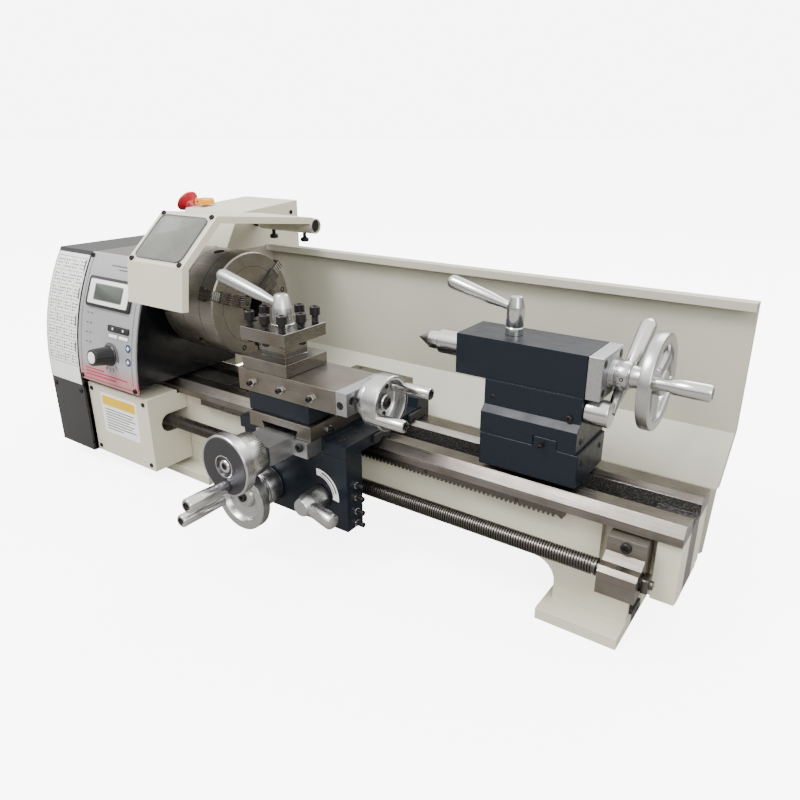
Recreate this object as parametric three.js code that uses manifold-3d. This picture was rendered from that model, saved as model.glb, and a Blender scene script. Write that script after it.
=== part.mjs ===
// A bench metal lathe with a variable-speed head, 210 mm swing and about 400 mm between centres.
// Millimetres, +Z up, +X from the headstock to the tailstock, -Y towards the operator.
// The lathe is drawn in its own working axes: x = 0 on the chuck face, y = 0 on the spindle axis
// and z = 0 just over the flat of the bed ways. LATHE_SHIFT then puts the underside of the
// headstock-end foot on the origin.
import * as THREE from 'three';
import { mergeVertices } from 'three/addons/utils/BufferGeometryUtils.js';
import Module from 'manifold-3d';

const wasm = await Module();
wasm.setup();

// ---------------------------------------------------------------- driving dimensions
const GAP = 0.3; // clearance left between pieces that touch
const CENTRE_HEIGHT = 105; // spindle axis over the bed: half of the 210 mm swing
const BENCH = -130; // underside of the feet

const BED = { left: -226, right: 528.5, half: 46, flat: -2, ridge: 1.5, railDepth: 16, bottom: -78 };
const WEB = { half: 34, recessHalf: 26, recessLeft: 459, recessRight: 508 };
const SLOT = { front: -16, back: 13, left: -40, right: 492, troughFloor: -13 }; // between the ways
const FOOT = { half: 57.5, flange: 12, wallHalf: 34, left: [-215, -45], right: [412, 490] };

const PANEL_ARC = { y: 199.3, z: -3, radius: 300.3 }; // the bulging front of the head, seen end-on
const HEAD = { left: -222, right: -107.3, top: 152, back: 60, bottom: 2.3 };
const PANEL = { left: -228, right: -107, bottom: -5, top: 155, thick: 3 };
const COVER = { left: -303, right: -228.3, top: 155, bottom: -112, back: 168, wall: 3 };
const LEAD_BOX = { left: -228, right: -102, front: -94, back: -47.4, bottom: -112, top: -12, wall: 2.5 };
const HOOD = { left: -218, right: -109.5, back: 205, bottom: -10, wall: 2 };

const SPINDLE = { journal: 25, tail: 22, bore: 19, left: -285, nose: -88.3 };
const CHUCK = { radius: 62.5, back: -71, plateBack: -88, bore: 16 };
const JAW_ANGLES = [160, 40, -80];

const LEADSCREW = { y: -61, z: -49, radius: 8, left: -282, right: 506 };
const CARRIAGE = { left: 70, right: 219, front: -96, back: 55, wingTop: 10, rearTop: 21 };
const CROSS = { left: 106, right: 190, front: -114.5, back: 66, bottom: 15, top: 31 };
const CROSS_FEED = { x: 148, z: 8 };
const COMPOUND = { left: 104, right: 186, front: -111, back: -49, top: 57 };
const TOP_SLIDE = { left: 92, right: 222, front: -112, back: -48, top: 75 };
const POST = { x: 130.5, y: -82, half: 30.5, core: 16.5, seat: 88.5, slotTop: 106, top: 119.3 };

const TAIL = { left: 333, right: 430, front: -34, back: 36, split: 35 };
const TONGUE = { left: 387, right: 410, top: 44.5 };
const TAIL_BODY = { left: 300, right: 427.5, half: 26, bottom: 85.5, top: 124.5 };
const QUILL = { radius: 12.5, left: 268.5, right: 398 };

const ON_AXIS = [0, 0, CENTRE_HEIGHT]; // a point on the spindle axis
const LATHE_SHIFT = [-(FOOT.left[0] + FOOT.left[1]) / 2, 0, -BENCH];

// ---------------------------------------------------------------- materials
const paint = (color, roughness = 0.45, metalness = 0) =>
  new THREE.MeshStandardMaterial({ color, roughness, metalness });
const MATERIAL = {
  cream: paint(0xd8d4c4, 0.42),
  casting: paint(0x1f2a33, 0.35),
  headPaint: paint(0x17191b, 0.3),
  groundSteel: paint(0x8a827a, 0.32, 0.9),
  brightSteel: paint(0xc8cacb, 0.18, 1),
  aluminium: paint(0xb4b8bb, 0.38, 0.9),
  blackOxide: paint(0x15161a, 0.5, 0.3),
  leadscrewSteel: paint(0x5a5552, 0.35, 0.9),
  silverPanel: paint(0xbcb9c0, 0.4, 0.2),
  plastic: paint(0x111214, 0.35),
  red: paint(0xc8303c, 0.4),
  yellow: paint(0xf2b014, 0.45),
  window: paint(0xb9bdb6, 0.12),
  rubber: paint(0x1a1a1a, 0.8),
};

// ---------------------------------------------------------------- shapes
const toManifold = (geometry) => {
  const bare = geometry.clone();
  bare.deleteAttribute('normal');
  bare.deleteAttribute('uv');
  const merged = mergeVertices(bare, 1e-4);
  return new wasm.Manifold(new wasm.Mesh({
    numProp: 3,
    vertProperties: merged.attributes.position.array,
    triVerts: new Uint32Array(merged.index.array),
  }));
};
const fromManifold = (solid) => {
  const mesh = solid.getMesh();
  const geometry = new THREE.BufferGeometry();
  geometry.setAttribute('position', new THREE.BufferAttribute(mesh.vertProperties, 3));
  geometry.setIndex(new THREE.BufferAttribute(mesh.triVerts, 1));
  return geometry;
};
const join = (...pieces) => fromManifold(pieces.map(toManifold).reduce((a, b) => a.add(b)));
const cut = (piece, ...tools) =>
  fromManifold(tools.map(toManifold).reduce((a, b) => a.subtract(b), toManifold(piece)));

const box = ([x0, y0, z0], [x1, y1, z1]) =>
  new THREE.BoxGeometry(x1 - x0, y1 - y0, z1 - z0).translate((x0 + x1) / 2, (y0 + y1) / 2, (z0 + z1) / 2);

const AXES = { // where a shape's own right, up and extrusion directions go
  x: new THREE.Matrix4().set(0, 0, 1, 0, 1, 0, 0, 0, 0, 1, 0, 0, 0, 0, 0, 1), // outline in (y, z)
  y: new THREE.Matrix4().set(0, 1, 0, 0, 0, 0, 1, 0, 1, 0, 0, 0, 0, 0, 0, 1), // outline in (z, x)
  z: new THREE.Matrix4(), // outline in (x, y)
};
// A flat outline pushed along an axis. Outlines for 'y' are given as (x, z) points.
const extrude = (axis, points, from, to) => {
  const flat = axis === 'y' ? points.map(([x, z]) => [z, x]) : points;
  const shape = new THREE.Shape(flat.map(([u, v]) => new THREE.Vector2(u, v)));
  const solid = new THREE.ExtrudeGeometry(shape, { depth: to - from, bevelEnabled: false });
  return solid.translate(0, 0, from).applyMatrix4(AXES[axis]);
};
// A turned shape: profile is a list of [place along the axis, radius], at is a point on the axis.
const SPIN = {
  x: new THREE.Matrix4().makeRotationZ(-Math.PI / 2),
  y: new THREE.Matrix4(),
  z: new THREE.Matrix4().makeRotationX(Math.PI / 2),
};
const turned = (axis, profile, at, sides = 28) => {
  const first = profile[0];
  const last = profile[profile.length - 1];
  const points = [[first[0], 0], ...profile, [last[0], 0]].map(([s, r]) => new THREE.Vector2(r, s));
  return new THREE.LatheGeometry(points, sides).applyMatrix4(SPIN[axis]).translate(...at);
};
const rod = (axis, radius, from, to, at, sides = 24) =>
  turned(axis, [[from, radius], [to, radius]], at, sides);
// A ring around an axis: a washer, a bearing or a tube.
const ring = (axis, outer, inner, from, to, at, sides = 28) =>
  new THREE.LatheGeometry([[outer, from], [outer, to], [inner, to], [inner, from], [outer, from]]
    .map(([r, s]) => new THREE.Vector2(r, s)), sides).applyMatrix4(SPIN[axis]).translate(...at);
// A turned shape laid between two points in space.
const between = (start, end, profile, sides = 20) => {
  const a = new THREE.Vector3(...start);
  const b = new THREE.Vector3(...end);
  const length = a.distanceTo(b);
  const scaled = profile.map(([s, r]) => [s * length, r]);
  const up = new THREE.Vector3(0, 1, 0);
  const turn = new THREE.Quaternion().setFromUnitVectors(up, b.clone().sub(a).normalize());
  return turned('y', scaled, [0, 0, 0], sides).applyQuaternion(turn).translate(...start);
};
// Points on a circular arc, angles in degrees.
const arc = (cx, cy, radius, from, to, steps) =>
  Array.from({ length: steps + 1 }, (_, i) => {
    const t = THREE.MathUtils.degToRad(from + (to - from) * i / steps);
    return [cx + radius * Math.cos(t), cy + radius * Math.sin(t)];
  });
// The head's bulging front from the bottom height to the top height, set back by depth.
const bulge = (bottom, top, depth, steps = 10) =>
  Array.from({ length: steps + 1 }, (_, i) => {
    const z = bottom + (top - bottom) * i / steps;
    const radius = PANEL_ARC.radius - depth;
    return [PANEL_ARC.y - Math.sqrt(radius ** 2 - (z - PANEL_ARC.z) ** 2), z];
  });
const bulgeY = (z, depth = 0) => bulge(z, z + 1, depth, 1)[0][0];

const lathe = new THREE.Group();
lathe.position.set(...LATHE_SHIFT);
const add = (name, geometry, material) => {
  const flat = geometry.index ? geometry.toNonIndexed() : geometry;
  flat.computeVertexNormals();
  const mesh = new THREE.Mesh(flat, material);
  mesh.name = name;
  lathe.add(mesh);
};

// ---------------------------------------------------------------- bed, feet and rack
function bedCasting() {
  const b = BED;
  const ways = extrude('x', [
    [-b.half, -b.railDepth], [b.half, -b.railDepth], [b.half, b.flat], [23, b.flat], [19.5, b.ridge],
    [SLOT.back, b.flat - 1], [SLOT.front, b.flat - 1], [SLOT.front, b.flat], [-33.5, b.flat],
    [-38.5, b.ridge],
    [-b.half, -8],
  ], b.left, b.right);
  const foot = ([x0, x1]) => [
    box([x0, -FOOT.half, BENCH], [x1, FOOT.half, BENCH + FOOT.flange]),
    extrude('y', [[x0 + 7, BENCH + 6], [x1, BENCH + 6], [x1, b.bottom + 20], [x0 + 7, b.bottom + 20]],
      -FOOT.wallHalf, FOOT.wallHalf),
  ];
  const archRadius = 22;
  const arch = [
    [FOOT.right[0] + 7 - archRadius, b.bottom + 12],
    ...arc(FOOT.right[0] + 7 - archRadius, b.bottom - archRadius, archRadius, 90, 0, 6),
    [FOOT.right[0] + 8, b.bottom + 12],
  ];
  const web = box([b.left, -WEB.half, b.bottom], [b.right, WEB.half, -b.railDepth + 1]);
  const endBlock = box([WEB.recessRight, -42, -75], [b.right, 42, b.flat - 1]);
  const footHollow = ([x0, x1], open) => box([x0, -FOOT.wallHalf + 6, BENCH + FOOT.flange],
    [x1, FOOT.wallHalf - 6, b.bottom + 8]).translate(open, 0, 0);
  const solid = join(ways, web, endBlock, ...foot(FOOT.left), ...foot(FOOT.right),
    extrude('y', arch, -WEB.half, WEB.half));
  // A pair of cuts on both sides of the bed, from the inner half width outwards.
  const bothSides = (x0, x1, inner, z0, z1) => [-1, 1].map((side) =>
    box([x0, Math.min(side * inner, side * 80), z0], [x1, Math.max(side * inner, side * 80), z1]));
  return cut(solid,
    box([SLOT.left, SLOT.front, b.bottom - 1], [SLOT.right, SLOT.back, b.ridge + 5]),
    box([SLOT.right - 1, SLOT.front, SLOT.troughFloor], [b.right + 1, SLOT.back, b.ridge + 5]),
    ...bothSides(WEB.recessLeft, WEB.recessRight, WEB.recessHalf, -72, -b.railDepth),
    footHollow([FOOT.right[0] + 14, FOOT.right[1]], 1),
    footHollow([FOOT.left[0] + 14, FOOT.left[1]], 1));
}
add('bed', bedCasting(), MATERIAL.cream);
add('gear_rack', box([-60, -45, -24.5], [425, -34 - GAP, -16 - GAP]), MATERIAL.groundSteel);

function splashGuard() {
  const t = 1.6;
  const wall = 130;
  const top = 155;
  const lip = 118;
  const skirt = 83; // the lower part hangs closer behind the bed
  const [left, right] = [-93, 529];
  const sheet = [
    [wall, 22], [wall, top - t], [lip + t, top - t], [lip + t, top - 8.5], [lip, top - 8.5], [lip, top],
    [wall + t, top], [wall + t, 21], [skirt + t, -20], [skirt + t, -98], [skirt, -98], [skirt, -19.4],
  ];
  const guard = extrude('x', sheet, left, right);
  const leftReturn = box([left, 72, 60], [left + t, wall + 0.5, top - t]);
  const rightReturn = extrude('x', [[wall, 22], [wall, top - t], [wall + t, top - 1], [wall + t + 4, top - 1],
    [wall + 16, 20], [skirt + 16, -24], [skirt + t, -20], [wall + 1, 21]], right - t, right);
  const slope = [[529.5, 157], [531, 157], [531, -100], [519, -100], [519, -98.1], [526, -91], [528.6, -20]];
  const taper = extrude('y', slope, 60, 200);
  const bracketWidth = 46;
  const brackets = [20, 430].map((x) => join(
    box([x, BED.half + GAP, -62], [x + bracketWidth, BED.half + 3, -22]),
    box([x, BED.half + 2, -44], [x + bracketWidth, skirt + 1, -40])));
  return cut(join(guard, leftReturn, rightReturn, ...brackets), taper);
}
add('splash_guard', splashGuard(), MATERIAL.cream);

// ---------------------------------------------------------------- headstock
function headstock() {
  const h = HEAD;
  const front = bulge(h.bottom, h.top, PANEL.thick + GAP);
  const body = extrude('x', [...front, [h.back, h.top], [h.back, h.bottom]], h.left, h.right);
  return cut(body,
    box([h.left + 14, -46, 14], [h.right - 15, h.back - 12, h.top + 5]),
    rod('x', 30, h.right - 16, h.right + 1, ON_AXIS, 32),
    rod('x', 26, h.left - 1, h.left + 15, ON_AXIS, 32));
}
add('headstock_casting', headstock(), MATERIAL.headPaint);
add('headstock_top_cover', box([PANEL.left, bulgeY(PANEL.top, PANEL.thick) + GAP, HEAD.top + GAP],
  [HEAD.right, HEAD.back, PANEL.top]), MATERIAL.headPaint);
add('front_spindle_bearing',
  ring('x', 29.7, SPINDLE.journal + GAP, HEAD.right - 14, HEAD.right - 1, ON_AXIS), MATERIAL.brightSteel);
add('rear_spindle_bearing',
  ring('x', 25.7, SPINDLE.tail + GAP, HEAD.left + 1, HEAD.left + 13, ON_AXIS), MATERIAL.brightSteel);

function controlPanel() {
  const outer = bulge(PANEL.bottom, PANEL.top, 0);
  const inner = bulge(PANEL.bottom, PANEL.top, PANEL.thick).reverse();
  return extrude('x', [...outer, ...inner], PANEL.left, PANEL.right);
}
add('control_panel', controlPanel(), MATERIAL.silverPanel);
// A flat box lying on the bulging panel, its middle at x and height z.
const onPanel = (geometry, x, z) => {
  const lean = Math.asin((z - PANEL_ARC.z) / PANEL_ARC.radius);
  return geometry.applyMatrix4(new THREE.Matrix4().makeRotationX(-lean)).translate(x, bulgeY(z), z);
};
add('display_module', onPanel(box([-45, -6, -20.5], [45, -1.2, 20.5]), -168, 110), MATERIAL.plastic);
const KNOB = [[-26, 9.5], [-25, 10.8], [-5, 12], [-4, 13.8], [-1, 13.8]];
add('speed_knob', onPanel(turned('y', KNOB, [0, 0, 0]), -158.4, 37.4), MATERIAL.plastic);

function gearCover() {
  const c = COVER;
  const outline = (depth, lift) => [
    [bulgeY(-5, depth), c.bottom + lift], ...bulge(-5, c.top - lift, depth),
    [c.back - depth, c.top - lift], [c.back - depth, 20 + lift], [30 - depth, c.bottom + lift],
  ];
  return cut(extrude('x', outline(0, 0), c.left, c.right),
    extrude('x', outline(c.wall, c.wall), c.left + c.wall, c.right + 1),
    rod('x', SPINDLE.tail - 1, c.left - 1, c.left + c.wall + 1, ON_AXIS)); // for long bar stock
}
add('gear_cover', gearCover(), MATERIAL.headPaint);

function leadscrewCover() {
  const b = LEAD_BOX;
  const shell = cut(
    join(box([b.left, b.front, b.bottom], [b.right, b.back, b.top]),
      box([b.right - b.wall, b.back - 1, b.bottom], [b.right, -WEB.half - GAP, -17 - GAP])),
    box([b.left - 1, b.front + b.wall, b.bottom + b.wall], [b.right - b.wall, 0, b.top - b.wall]));
  const slot = join(rod('x', 12, b.right - 10, b.right + 5, [0, -64, -52]),
    box([b.right - 10, -64, -64], [b.right + 5, -20, -40]));
  return cut(shell, slot);
}
add('leadscrew_cover', leadscrewCover(), MATERIAL.cream);

function electricalBox() {
  const h = HOOD;
  const outline = (wall) => [
    [61 + wall, h.bottom + wall], [61 + wall, 150], [90 + wall, 198 - wall], [h.back - wall, 206 - wall],
    [h.back - wall, h.bottom + wall],
  ];
  const shell = cut(extrude('x', outline(0), h.left, h.right),
    extrude('x', outline(h.wall), h.left + h.wall, h.right - h.wall));
  return cut(shell,
    box([h.left + 20, 80, h.bottom - 1], [h.right - 20, 190, h.bottom + 5]), // cable and air opening
    rod('x', 16, h.left - 1, h.left + 5, [0, 135, 60]));
}
add('electrical_box', electricalBox(), MATERIAL.cream);
const MOTOR_AT = [0, 135, 60];
const MOTOR = [[-265, 8], [-214, 8], [-214, 46], [-130, 46], [-130, 30], [-122, 30]];
add('drive_motor', turned('x', MOTOR, MOTOR_AT), MATERIAL.blackOxide);
add('motor_pulley', ring('x', 24, 8 + GAP, -263, -245, MOTOR_AT), MATERIAL.aluminium);
// The belt follows the outside of both pulleys, like two circles joined by straight runs.
function driveBelt() {
  const away = Math.atan2(MOTOR_AT[2] - CENTRE_HEIGHT, MOTOR_AT[1]);
  const distance = Math.hypot(MOTOR_AT[1], MOTOR_AT[2] - CENTRE_HEIGHT);
  const loop = (big, small) => {
    const lean = THREE.MathUtils.radToDeg(Math.acos((big - small) / distance));
    const turn = THREE.MathUtils.radToDeg(away);
    return [...arc(0, CENTRE_HEIGHT, big, turn + lean, turn + 360 - lean, 16),
      ...arc(MOTOR_AT[1], MOTOR_AT[2], small, turn - lean, turn + lean, 10)];
  };
  const [left, right] = [-259, -249];
  return cut(extrude('x', loop(43.5, 27.5), left, right),
    extrude('x', loop(40 + GAP * 2, 24 + GAP * 2), left - 1, right + 1));
}
add('drive_belt', driveBelt(), MATERIAL.rubber);

// ---------------------------------------------------------------- emergency stop
// It stands on the rear box. The flap carries the button and leans to the left at rest.
const STOP = { hinge: -219, y: 112, z: 201, lean: -53, half: 10 };
add('estop_base', extrude('x', [
  [STOP.y - STOP.half, 200.2], [STOP.y + STOP.half, 201.6],
  [STOP.y + STOP.half, 211], [STOP.y - STOP.half, 211],
], STOP.hinge + 1.5, STOP.hinge + 27), MATERIAL.yellow);
const stopHinge = (geometry) => geometry
  .applyMatrix4(new THREE.Matrix4().makeRotationY(THREE.MathUtils.degToRad(STOP.lean)))
  .translate(STOP.hinge, STOP.y, STOP.z);
const BUTTON_PLACE = [-10, 0, 0];
const BUTTON = [[5.6, 8], [12.4, 8], [14, 10], [18, 16.5], [20, 17], [22, 15], [23, 10]];
const BUTTON_HOLE = rod('z', 8 + GAP, 1.2, 12, BUTTON_PLACE);
add('estop_flap', stopHinge(cut(box([-20, -9.5, -1], [-1.5, 9.5, 8]), BUTTON_HOLE)), MATERIAL.red);
add('estop_button', stopHinge(turned('z', BUTTON, BUTTON_PLACE)), MATERIAL.red);

// ---------------------------------------------------------------- spindle, chuck and jaws
const turnedTube = (profile, bore, at = ON_AXIS) =>
  cut(turned('x', profile, at, 32), rod('x', bore, profile[0][0] - 1, profile.at(-1)[0] + 1, at, 24));
add('spindle', turnedTube([
  [SPINDLE.left, SPINDLE.tail], [HEAD.left + 14, SPINDLE.tail], [HEAD.left + 14, 24], [HEAD.right - 16, 24],
  [HEAD.right - 16, SPINDLE.journal], [-104, SPINDLE.journal], [-104, 44], [SPINDLE.nose, 44],
], SPINDLE.bore), MATERIAL.groundSteel);
add('spindle_pulley', ring('x', 40, SPINDLE.tail + GAP, -263, -245, ON_AXIS), MATERIAL.aluminium);
add('spindle_gear', ring('x', 30, SPINDLE.tail + GAP, -278, -266, ON_AXIS), MATERIAL.groundSteel);
add('chuck_backplate', turnedTube([[CHUCK.plateBack, 61.8], [CHUCK.back - GAP, 61.8]], CHUCK.bore),
  MATERIAL.groundSteel);

const about = (geometry, degrees) => geometry.translate(0, 0, -CENTRE_HEIGHT)
  .applyMatrix4(new THREE.Matrix4().makeRotationX(THREE.MathUtils.degToRad(degrees)))
  .translate(0, 0, CENTRE_HEIGHT);
// Jaws and slots are drawn pointing along +Y and turned about the spindle axis.
const JAW = { half: 8, neck: 5.4, inner: 16.5, outer: 66, back: -20, neckBack: -11 };
function chuckBody() {
  const r = CHUCK.radius;
  const body = turned('x', [[CHUCK.back, r], [-1.5, r], [0, r - 1.5]], ON_AXIS, 48);
  const slot = (x0, x1, half) =>
    box([x0 - GAP, 5, CENTRE_HEIGHT - half - GAP], [x1 + GAP, 80, CENTRE_HEIGHT + half + GAP]);
  const slots = JAW_ANGLES.map((angle) =>
    about(join(slot(JAW.neckBack, 5, JAW.neck), slot(JAW.back, JAW.neckBack, JAW.half)), angle));
  const keys = JAW_ANGLES.map((angle) =>
    about(rod('y', 6.5, 50, 70, [-38, 0, CENTRE_HEIGHT], 16), angle + 60));
  return cut(body, rod('x', CHUCK.bore, -80, 5, ON_AXIS, 24), ...slots, ...keys);
}
add('chuck_body', chuckBody(), MATERIAL.groundSteel);
JAW_ANGLES.forEach((angle, i) => {
  const low = CENTRE_HEIGHT - JAW.half;
  const high = CENTRE_HEIGHT + JAW.half;
  const steps = [[JAW.inner, 14], [28, 14], [28, 8.5], [41, 8.5], [41, 3.5], [52, 3.5], [52, 0.6]];
  const crown = extrude('z', [[0.6, JAW.inner], ...steps.map(([y, x]) => [x, y])], low + 1, high - 1);
  add(`chuck_jaw_${i + 1}`, about(join(
    box([JAW.neckBack, JAW.inner, CENTRE_HEIGHT - JAW.neck], [1, JAW.outer, CENTRE_HEIGHT + JAW.neck]),
    box([JAW.back, JAW.inner, low], [JAW.neckBack, JAW.outer, high]), crown), angle), MATERIAL.groundSteel);
});

// ---------------------------------------------------------------- chuck guard
const TUBE = { y: 120, z: 185, radius: 10, left: -109, right: 0 };
const GUARD = { left: -96, right: 0, wall: 2.4 };
function chuckGuard() {
  const outer = [[-102.6, 115.6], [-96.2, 163.1], [-41.2, 212.4], [116, 196.2]];
  const inner = [[116, 193.8], [-40.5, 209.9], [-93.9, 162], [-100.2, 115.6]];
  const sheet = extrude('x', [...outer, ...inner], GUARD.left, GUARD.right);
  const rim = [[-94.1, 114.6], [-87.8, 160], [-37.6, 204.2], [112, 188.5]].reverse();
  const rimEdges = [GUARD.left, GUARD.right - GUARD.wall].map((x) =>
    extrude('x', [...outer, ...rim], x, x + GUARD.wall));
  const sleeve = ring('x', TUBE.radius, TUBE.radius - 2, GUARD.left, GUARD.right, [0, TUBE.y, TUBE.z], 24);
  const opening = extrude('x', [[-102, 168], [-80, 168], [-38, 205.6], [-60, 214]], -84, -13);
  return join(cut(sheet, opening), ...rimEdges, sleeve);
}
add('chuck_guard', chuckGuard(), MATERIAL.cream);
const slope = Math.atan2(212.4 - 163.1, 96.2 - 41.2);
add('guard_window', box([-90, -33, 0], [-7, 33, 2]).applyMatrix4(new THREE.Matrix4().makeRotationX(slope))
  .translate(0, -69.2, 188.15), MATERIAL.window);
add('guard_hinge_pin', rod('x', TUBE.radius - 2 - GAP, TUBE.left, TUBE.right - 1, [0, TUBE.y, TUBE.z]),
  MATERIAL.blackOxide);

// ---------------------------------------------------------------- change gears and leadscrew
const SCREW_AT = [0, LEADSCREW.y, LEADSCREW.z];
const STUD_AT = [0, -30.4, 28.3];
add('change_gear_stud', rod('x', 7, -282, HEAD.left - GAP, STUD_AT), MATERIAL.brightSteel);
add('change_gear', ring('x', 52, 7 + GAP, -278, -266, STUD_AT, 40), MATERIAL.groundSteel);
add('leadscrew_gear', ring('x', 30.6, LEADSCREW.radius + GAP, -278, -266, SCREW_AT, 32),
  MATERIAL.groundSteel);
add('leadscrew', join(
  turned('x', [[LEADSCREW.left, 7], [LEADSCREW.left + 60, 7], [LEADSCREW.left + 60, LEADSCREW.radius],
    [466, LEADSCREW.radius], [466, 6], [LEADSCREW.right, 6]], SCREW_AT),
  box([LEADSCREW.right - 1, LEADSCREW.y - 6.5, LEADSCREW.z - 6.5],
    [514, LEADSCREW.y + 6.5, LEADSCREW.z + 6.5])), MATERIAL.leadscrewSteel);
function bearingBlock() {
  const [left, right] = [471, 504];
  const section = [
    [-WEB.half - GAP, -17], [-58, -17], [-58, -31], [-66, -37], [-74, -37], [-78, -41], [-78, -62],
    [-WEB.half - GAP, -62]];
  const bore = rod('x', LEADSCREW.radius + GAP, left - 1, right + 1, SCREW_AT);
  return cut(extrude('x', section, left, right), bore);
}
add('leadscrew_bearing_block', bearingBlock(), MATERIAL.groundSteel);

// ---------------------------------------------------------------- carriage
function saddle() {
  const c = CARRIAGE;
  const section = [
    [c.front, c.wingTop], [c.front, -3], [-43.2, -3], [-39.6, 2.3], [-37.4, 2.3], [-33.6, -1.6], [-16, -1.6],
    [14.4, -1.6], [18.6, 2.3], [20.4, 2.3], [23.8, -1.6], [46.4, -1.6], [46.4, -12], [c.back, -12],
    [c.back, c.rearTop], [34, c.rearTop], [30, c.wingTop],
  ];
  const bridge = box([CROSS.left, c.front, 0], [CROSS.right, c.back, CROSS.bottom - GAP]);
  const dovetail = extrude('y', [[130, 10], [166, 10], [172, 22.5], [124, 22.5]], c.front, c.back);
  const channel = box([CROSS.left - 0.5, -120, CROSS.bottom - GAP], [CROSS.right + 0.5, 80, 60]);
  const overWays = cut(bridge, box([0, -44, -5], [300, 47, 2.4]));
  return join(cut(join(extrude('x', section, c.left, c.right), overWays), channel), dovetail);
}
add('saddle', saddle(), MATERIAL.casting);
const CARRIAGE_WHEEL = [111, 0, -60];
add('apron', cut(join(
  box([76, CARRIAGE.front, -86], [CARRIAGE.right, -71, -3 - GAP]),
  box([150, -71 - 1, -66], [200, -50, -32])),
rod('x', LEADSCREW.radius + 1, 140, 230, SCREW_AT),
box([153.7, -69.9, -57.9], [196.3, -49, -40.1]),
rod('y', 6 + GAP, -120, -60, CARRIAGE_WHEEL)), MATERIAL.casting);
// The carriage wheel is one turned casting: rim, thin dished web, boss with its dial, and shaft.
add('carriage_handwheel', join(
  ring('y', 35, 25, -143, -132, CARRIAGE_WHEEL, 36),
  rod('y', 26, -136, -133, CARRIAGE_WHEEL, 36),
  turned('y', [
    [-137, 10], [-133, 13], [-118, 13], [-118, 20], [-97, 20], [-97, 6], [-74, 6],
  ], CARRIAGE_WHEEL),
), MATERIAL.aluminium);
// A turned handle grip on a handwheel, plain cylinder with eased ends.
const grip = (axis, at, from, to, small, big) => {
  const step = Math.sign(to - from);
  const profile = [[from, small], [from + 10 * step, big], [to - 1.5 * step, big], [to, big - 1.5]];
  return turned(axis, step > 0 ? profile : profile.reverse(), at, 20);
};
add('carriage_handle', grip('y', [84, 0, -69], -143 - GAP, -198, 6.5, 7), MATERIAL.brightSteel);
const NUT_HALF = 8.6;
add('half_nut', cut(
  box([154, LEADSCREW.y - NUT_HALF, LEADSCREW.z - NUT_HALF],
    [196, LEADSCREW.y + NUT_HALF, LEADSCREW.z + NUT_HALF]),
  rod('x', LEADSCREW.radius + 0.2, 150, 200, SCREW_AT)), MATERIAL.brightSteel);

const LEVER_AT = [184, 0, -54];
add('half_nut_lever', join(
  turned('y', [[-128, 9], [-118, 12], [-98, 12], [-98, 13.5], [-96 - GAP, 13.5]], LEVER_AT),
  between([184, -119, -54], [225, -124, -59], [[0, 6], [0.45, 6.6], [0.8, 8.6], [0.93, 8.6], [1, 5]])),
MATERIAL.aluminium);

// ---------------------------------------------------------------- cross slide
add('cross_slide', cut(
  box([CROSS.left, CROSS.front, CROSS.bottom], [CROSS.right, CROSS.back, CROSS.top]),
  extrude('y', [[127.5, 14], [168.5, 14], [172.9, 23], [123.1, 23]], -130, 80)), MATERIAL.groundSteel);
add('cross_slide_bracket', cut(join(
  box([129, -150, -2], [169, -114.5 - GAP, 18]),
  box([118, -118, -2], [188, -96 - GAP, CROSS.bottom - GAP])),
box([126, -114.5, 14], [172, -90, 30]),
rod('y', 7 + GAP, -160, -90, [CROSS_FEED.x, 0, CROSS_FEED.z])), MATERIAL.aluminium);
add('cross_slide_handwheel', turned('y', [
  [-189, 11], [-189, 31], [-177, 31], [-177, 22], [-152, 22], [-150 - GAP, 20], [-150 - GAP, 7], [-98, 7],
], [CROSS_FEED.x, 0, CROSS_FEED.z], 36), MATERIAL.aluminium);
add('cross_slide_handle', grip('y', [CROSS_FEED.x + 1, 0, CROSS_FEED.z - 20], -189 - GAP, -236, 6.5, 7.2),
  MATERIAL.brightSteel);

// ---------------------------------------------------------------- compound and tool post
add('compound_base', join(
  box([COMPOUND.left, COMPOUND.front, CROSS.top + GAP], [COMPOUND.right, COMPOUND.back, COMPOUND.top - 6]),
  extrude('x', [
    [COMPOUND.front + 12, COMPOUND.top - 7], [COMPOUND.back - 12, COMPOUND.top - 7],
    [COMPOUND.back - 8, COMPOUND.top + 2], [COMPOUND.front + 8, COMPOUND.top + 2],
  ], COMPOUND.left, COMPOUND.right),
), MATERIAL.casting);
add('top_slide', cut(
  box([TOP_SLIDE.left, TOP_SLIDE.front, COMPOUND.top - 6 + GAP],
    [TOP_SLIDE.right, TOP_SLIDE.back, TOP_SLIDE.top]),
  extrude('x', [
    [COMPOUND.front + 11.4, 50], [COMPOUND.back - 11.4, 50],
    [COMPOUND.back - 7.2, COMPOUND.top + 2.6], [COMPOUND.front + 7.2, COMPOUND.top + 2.6],
  ], TOP_SLIDE.left - 1, TOP_SLIDE.right + 1)), MATERIAL.groundSteel);
const TOP_FEED = [0, -80, 62];
add('top_slide_bracket', cut(
  box([TOP_SLIDE.right + GAP, TOP_SLIDE.front, 52], [235, TOP_SLIDE.back, TOP_SLIDE.top]),
  rod('x', 6.5, 220, 240, TOP_FEED), rod('x', 4, 220, 240, [0, -104, 66])), MATERIAL.aluminium);
const CUP_GRIPS = [[-58, 71], [-101, 53]]
  .map(([y, z]) => turned('x', [[252, 5.2], [290, 6], [294, 3.5]], [0, y, z], 16));
add('top_slide_handwheel', join(
  cut(turned('x', [
    [223, 6], [235 + GAP, 6], [235 + GAP, 18], [244, 20], [246, 27], [264, 27],
  ], TOP_FEED, 36), rod('x', 22, 250, 270, TOP_FEED)),
  turned('x', [[244, 8], [258, 8]], TOP_FEED),
  ...CUP_GRIPS), MATERIAL.aluminium);

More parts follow.
